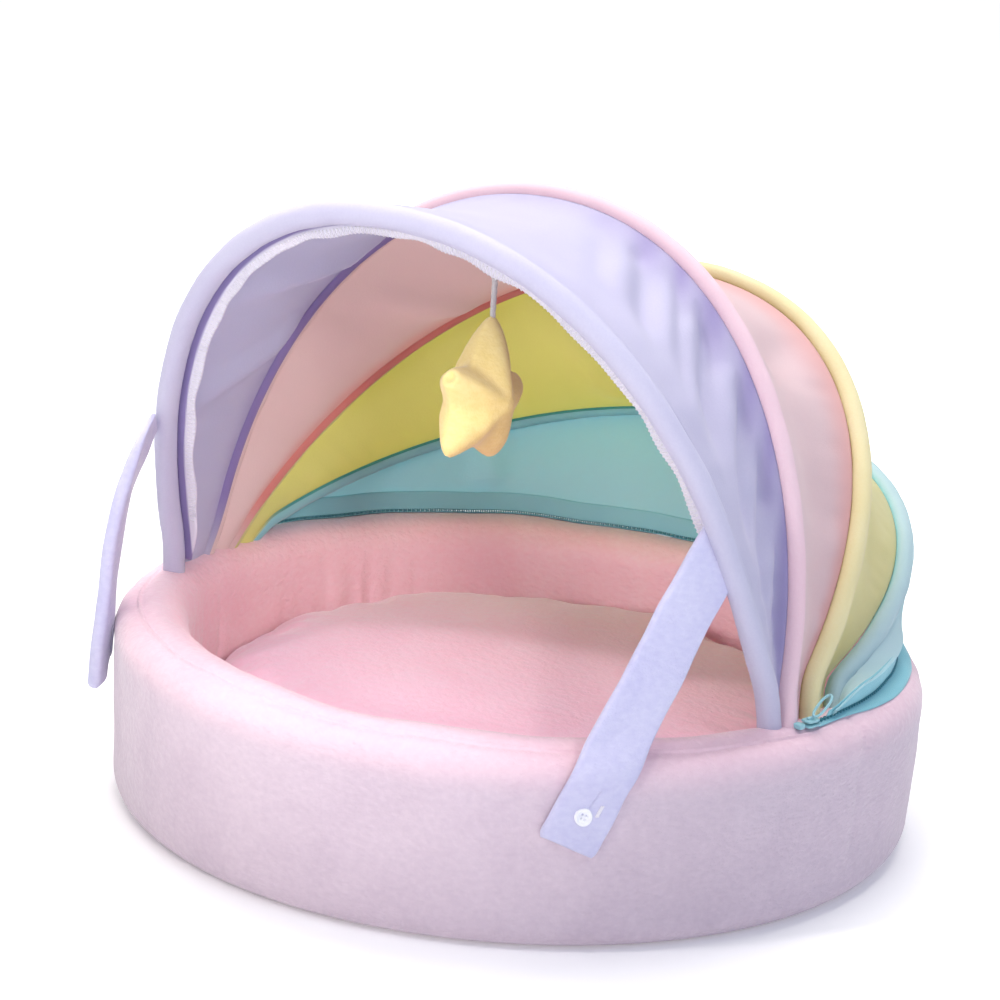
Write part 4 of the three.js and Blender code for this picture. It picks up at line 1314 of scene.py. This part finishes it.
def strap_surface(side, along, across):
    """A band of even width about a smooth line round the bed, square to it, cupped and softly creased. Where
    its sewing shows, its top edge is drawn over to the front rib and eases into the band.
    """
    strap = STRAPS[side]
    stations = [
        (radius or on_wall(height), math.radians(angle) * BASE_RADIUS, height)
        for radius, angle, height in STRAP_LINES[side]
    ]
    place, way, length = through(stations, along)
    place, way = place[:, None], way[:, None]
    slope = np.arctan2(way[..., 1], -way[..., 2])
    corner = 1 - 0.1 * np.clip(1 - (1 - along) * length / STRAP_CORNER, 0, 1)[:, None] ** 3
    offset = (across[None] - 0.5) * STRAP_WIDTH * corner * strap_share(side, along)
    turn = place[..., 1] / BASE_RADIUS + offset * np.cos(slope) / place[..., 0]
    spots = points_of(along[:, None] * length, offset) @ np.array([[1.0, 0.0], [0.8, 0.5]])
    free = smooth(place[..., 2], RIM_HEIGHT, RIM_HEIGHT + 50)
    cupped = {"right": free, "left": smooth(along, 0.12, 0.5)[:, None]}[side]
    cup = strap["cup"] * (across[None] * 2 - 1) ** 2 * cupped
    creases = strap["crease"] * (2 - free) * waves("strap_creases", spots, len(side))
    out = place[..., 0] + STRAP_LIFT + creases + cup + strap["turn"] * (offset + STRAP_WIDTH / 2)
    band = polar(out, np.degrees(turn), place[..., 2] + offset * np.sin(slope))
    if side in STRAP_SEWN:
        sewn = STRAP_SEWN[side]
        rib, inward, behind, _ = rib_frame(mix(*sewn["shares"], across))
        top = rib + inward * sewn["inward"] + behind * sewn["behind"]
        band = band + (top - band[0])[None] * (np.clip(1 - along / sewn["ease"], 0, 1) ** 2)[:, None, None]
    return band, length


def make_strap(side):
    """The band as a closed sheet, pressed in by bells at its buttonhole slit and round its button."""
    along = np.linspace(0, 1, STRAP_ROWS)
    across = np.linspace(0, 1, STRAP_COLUMNS)
    middle, length = strap_surface(side, along, across)
    outward = polar(1.0, np.degrees(np.arctan2(middle[..., 1], middle[..., 0])), 0)
    normal = facing(grid_normals(middle), outward)
    slit_along = smooth(along, 0.77, 0.8) * (1 - smooth(along, 0.89, 0.9))
    slit = slit_along[:, None] * bell((across - SLIT_PLACE) * STRAP_WIDTH, SLIT_WIDTH)[None]
    row = int(BUTTON_PLACE * (STRAP_ROWS - 1))
    column = STRAP_COLUMNS // 2
    pinch = bell(np.linalg.norm(middle - middle[row, column], axis=-1), PINCH_WIDTH)
    middle = middle - normal * (SLIT_DEPTH * slit + PINCH_DEPTH * pinch)[..., None]
    cloth = STRAPS[side]["cloth"] * strap_share(side, along)
    strap = put_sheet(
        "strap_plush_" + side, middle, cloth, "strap", "lavender_cloth", ["strap_" + side], edge=STRAP_EDGE
    )
    spot = middle[row, column]
    down = unit(middle[row + 4, column] - spot)
    trims = [make_button(side, spot, normal[row, column], down), make_bar_tack(side, middle, normal)]


def make_button(side, spot, out, down):
    """A dished disc on a polar grid: height by distance from its middle, less four wells for the thread."""
    across = np.cross(out, down)
    under = [BUTTON_RADIUS, BUTTON_RADIUS - 0.8, 0]
    radius = np.concatenate([np.linspace(0, BUTTON_RADIUS, BUTTON_RINGS), under])
    turn = full_turn(72)[:, None]
    x, y = radius[None] * np.cos(turn), radius[None] * np.sin(turn)
    dish = BUTTON_DISH * (1 - smooth(radius, 2.9, 4.0))
    top = BUTTON_THICKNESS - dish - BUTTON_ROUND * smooth(radius, 4.6, BUTTON_RADIUS) ** 2
    top[BUTTON_RINGS:] = [0.6, 0, 0]
    from_hole = np.hypot(np.abs(x) - BUTTON_HOLE_AT, np.abs(y) - BUTTON_HOLE_AT)
    wells = (1 - smooth(from_hole, 0.5, 0.75)) * (np.arange(len(radius)) < BUTTON_RINGS)
    height = top[None] - BUTTON_HOLE_DEPTH * wells
    foot = spot + out * (STRAPS[side]["cloth"] / 2 + TRIM_LIFT)
    points = foot + down * x[..., None] + across * y[..., None] + out * height[..., None]
    faces = grid_faces(len(turn), len(radius), round_rows=True)
    return put_piece("button_disc_" + side, points, faces, "button", "button", ["button_" + side], weld=True)


def make_bar_tack(side, middle, normal):
    """A short row of white thread loops beside the slit's upper end, which swing across as a sine wave."""
    spot = np.linspace(*TACK_ENDS, 120) * (STRAP_ROWS - 1)
    row = spot.astype(int)
    part = (spot - row)[:, None]
    line = mix(middle[row, TACK_COLUMN], middle[row + 1, TACK_COLUMN], part)
    out = unit(mix(normal[row, TACK_COLUMN], normal[row + 1, TACK_COLUMN], part))
    across = unit(middle[row, TACK_COLUMN + 1] - middle[row, TACK_COLUMN])
    swing = np.sin(np.linspace(0, TACK_SWINGS * 2 * np.pi, len(spot)))[:, None]
    path = line + out * (STRAPS[side]["cloth"] / 2 + TRIM_LIFT) + across * TACK_WIDTH * swing
    points, faces = tube_shell(path, out, np.full((len(spot), 6), TACK_THREAD))
    return put_piece("bar_tack_" + side, points, faces, "thread", "lavender_cloth")


# Star and its cord


def make_cord():
    """A straight hanging line with three strands wound round it: a squared cosine of 1.5 times the turn."""
    rows = 64
    middle = (CORD_LOW + CORD_HIGH) / 2
    path = points_of(middle[0], middle[1], np.linspace(CORD_HIGH[2], CORD_LOW[2], rows))
    path[0, 2] += CORD_IN_HEM
    path[-1, 2] -= CORD_IN_STAR
    radius = (CORD_HIGH[0] - CORD_LOW[0]) / 2
    wound = np.cos(1.5 * (full_turn(24)[None] + path[:, 2:3] / CORD_TWIST)) ** 2
    groove = 1 - CORD_GROOVE + CORD_GROOVE * wound
    points, faces = tube_shell(path, np.array([0.0, -1.0, 0.0]), radius * groove)
    cord = put_piece("star_cord_twist", points, faces, "cord", "cord", ["star_cord"])


def hung(local):
    """Points on the upright star, turned by its lean about the cord's lower end."""
    lean = math.radians(STAR_LEAN)
    x, y, z = np.moveaxis(local, -1, 0)
    hang = np.append((CORD_LOW[:2] + CORD_HIGH[:2]) / 2, CORD_LOW[2] - STAR_DROP)
    level = y * math.cos(lean) - z * math.sin(lean)
    return points_of(x, level, y * math.sin(lean) + z * math.cos(lean)) + hang


def make_star():
    """A five-armed star: straight edges between the outline's points and notches, told by distance from the
    middle from the top down each side, then averaged round. Its faces fall off as a power of the way out.
    """
    turn = full_turn(120)[:, None]
    face = np.linspace(-1, 1, 33)[None]
    step = np.pi / 5
    down = np.minimum(turn, 2 * np.pi - turn)
    part = np.clip((down / step).astype(int), 0, 4)
    off = down - part * step
    first, second = STAR_OUTLINE[part], STAR_OUTLINE[part + 1]
    edge = first * second * math.sin(step) / (second * np.sin(step - off) + first * np.sin(off))
    edge = sum(share * np.roll(edge, place - 4, axis=0) for place, share in enumerate(STAR_SOFTENING))
    out = 1 - np.abs(face)
    thick = np.sign(face) * (STAR_DEPTH - STAR_SWELL) * (1 - out**1.5) ** 0.8
    plain = points_of(thick, edge * out * np.sin(turn), edge * out * np.cos(turn) - STAR_POINT)
    faces = grid_faces(turn.size, face.size, round_rows=True)
    star = put_piece("star_plush", hung(plain), faces, "star", "star_plush", ["star_toy"], weld=True)
    place = swell(star, voxel=2, relaxing=3, pressure=3, cap=2.5)
    arm = math.radians(STAR_NUB_ANGLE)
    nub = hung(np.array([0.0, STAR_NUB * math.sin(arm), STAR_NUB * math.cos(arm) - STAR_POINT]))
    heart = hung(np.array([0.0, 0.0, -STAR_POINT]))
    near = np.linalg.norm(place - nub, axis=1, keepdims=True)
    place = place + unit(heart - nub) * STAR_NUB_PULL * bell(near, STAR_NUB_WIDTH)
    place = place + unit(place - heart) * waves("star_lumps", place)[:, None]
    reshape(star, place)


make_camera()
make_cord()
make_lights()
make_floor()
make_base()
make_cushion()
for rib_name in RIBS:
    make_rib(rib_name)
for panel_name in PANELS:
    make_panel(panel_name)
make_lower_tape()
make_upper_tape()
make_teeth()
make_slider()
make_end_loop()
make_pull_ring()
for strap_side in STRAPS:
    make_strap(strap_side)
make_star()
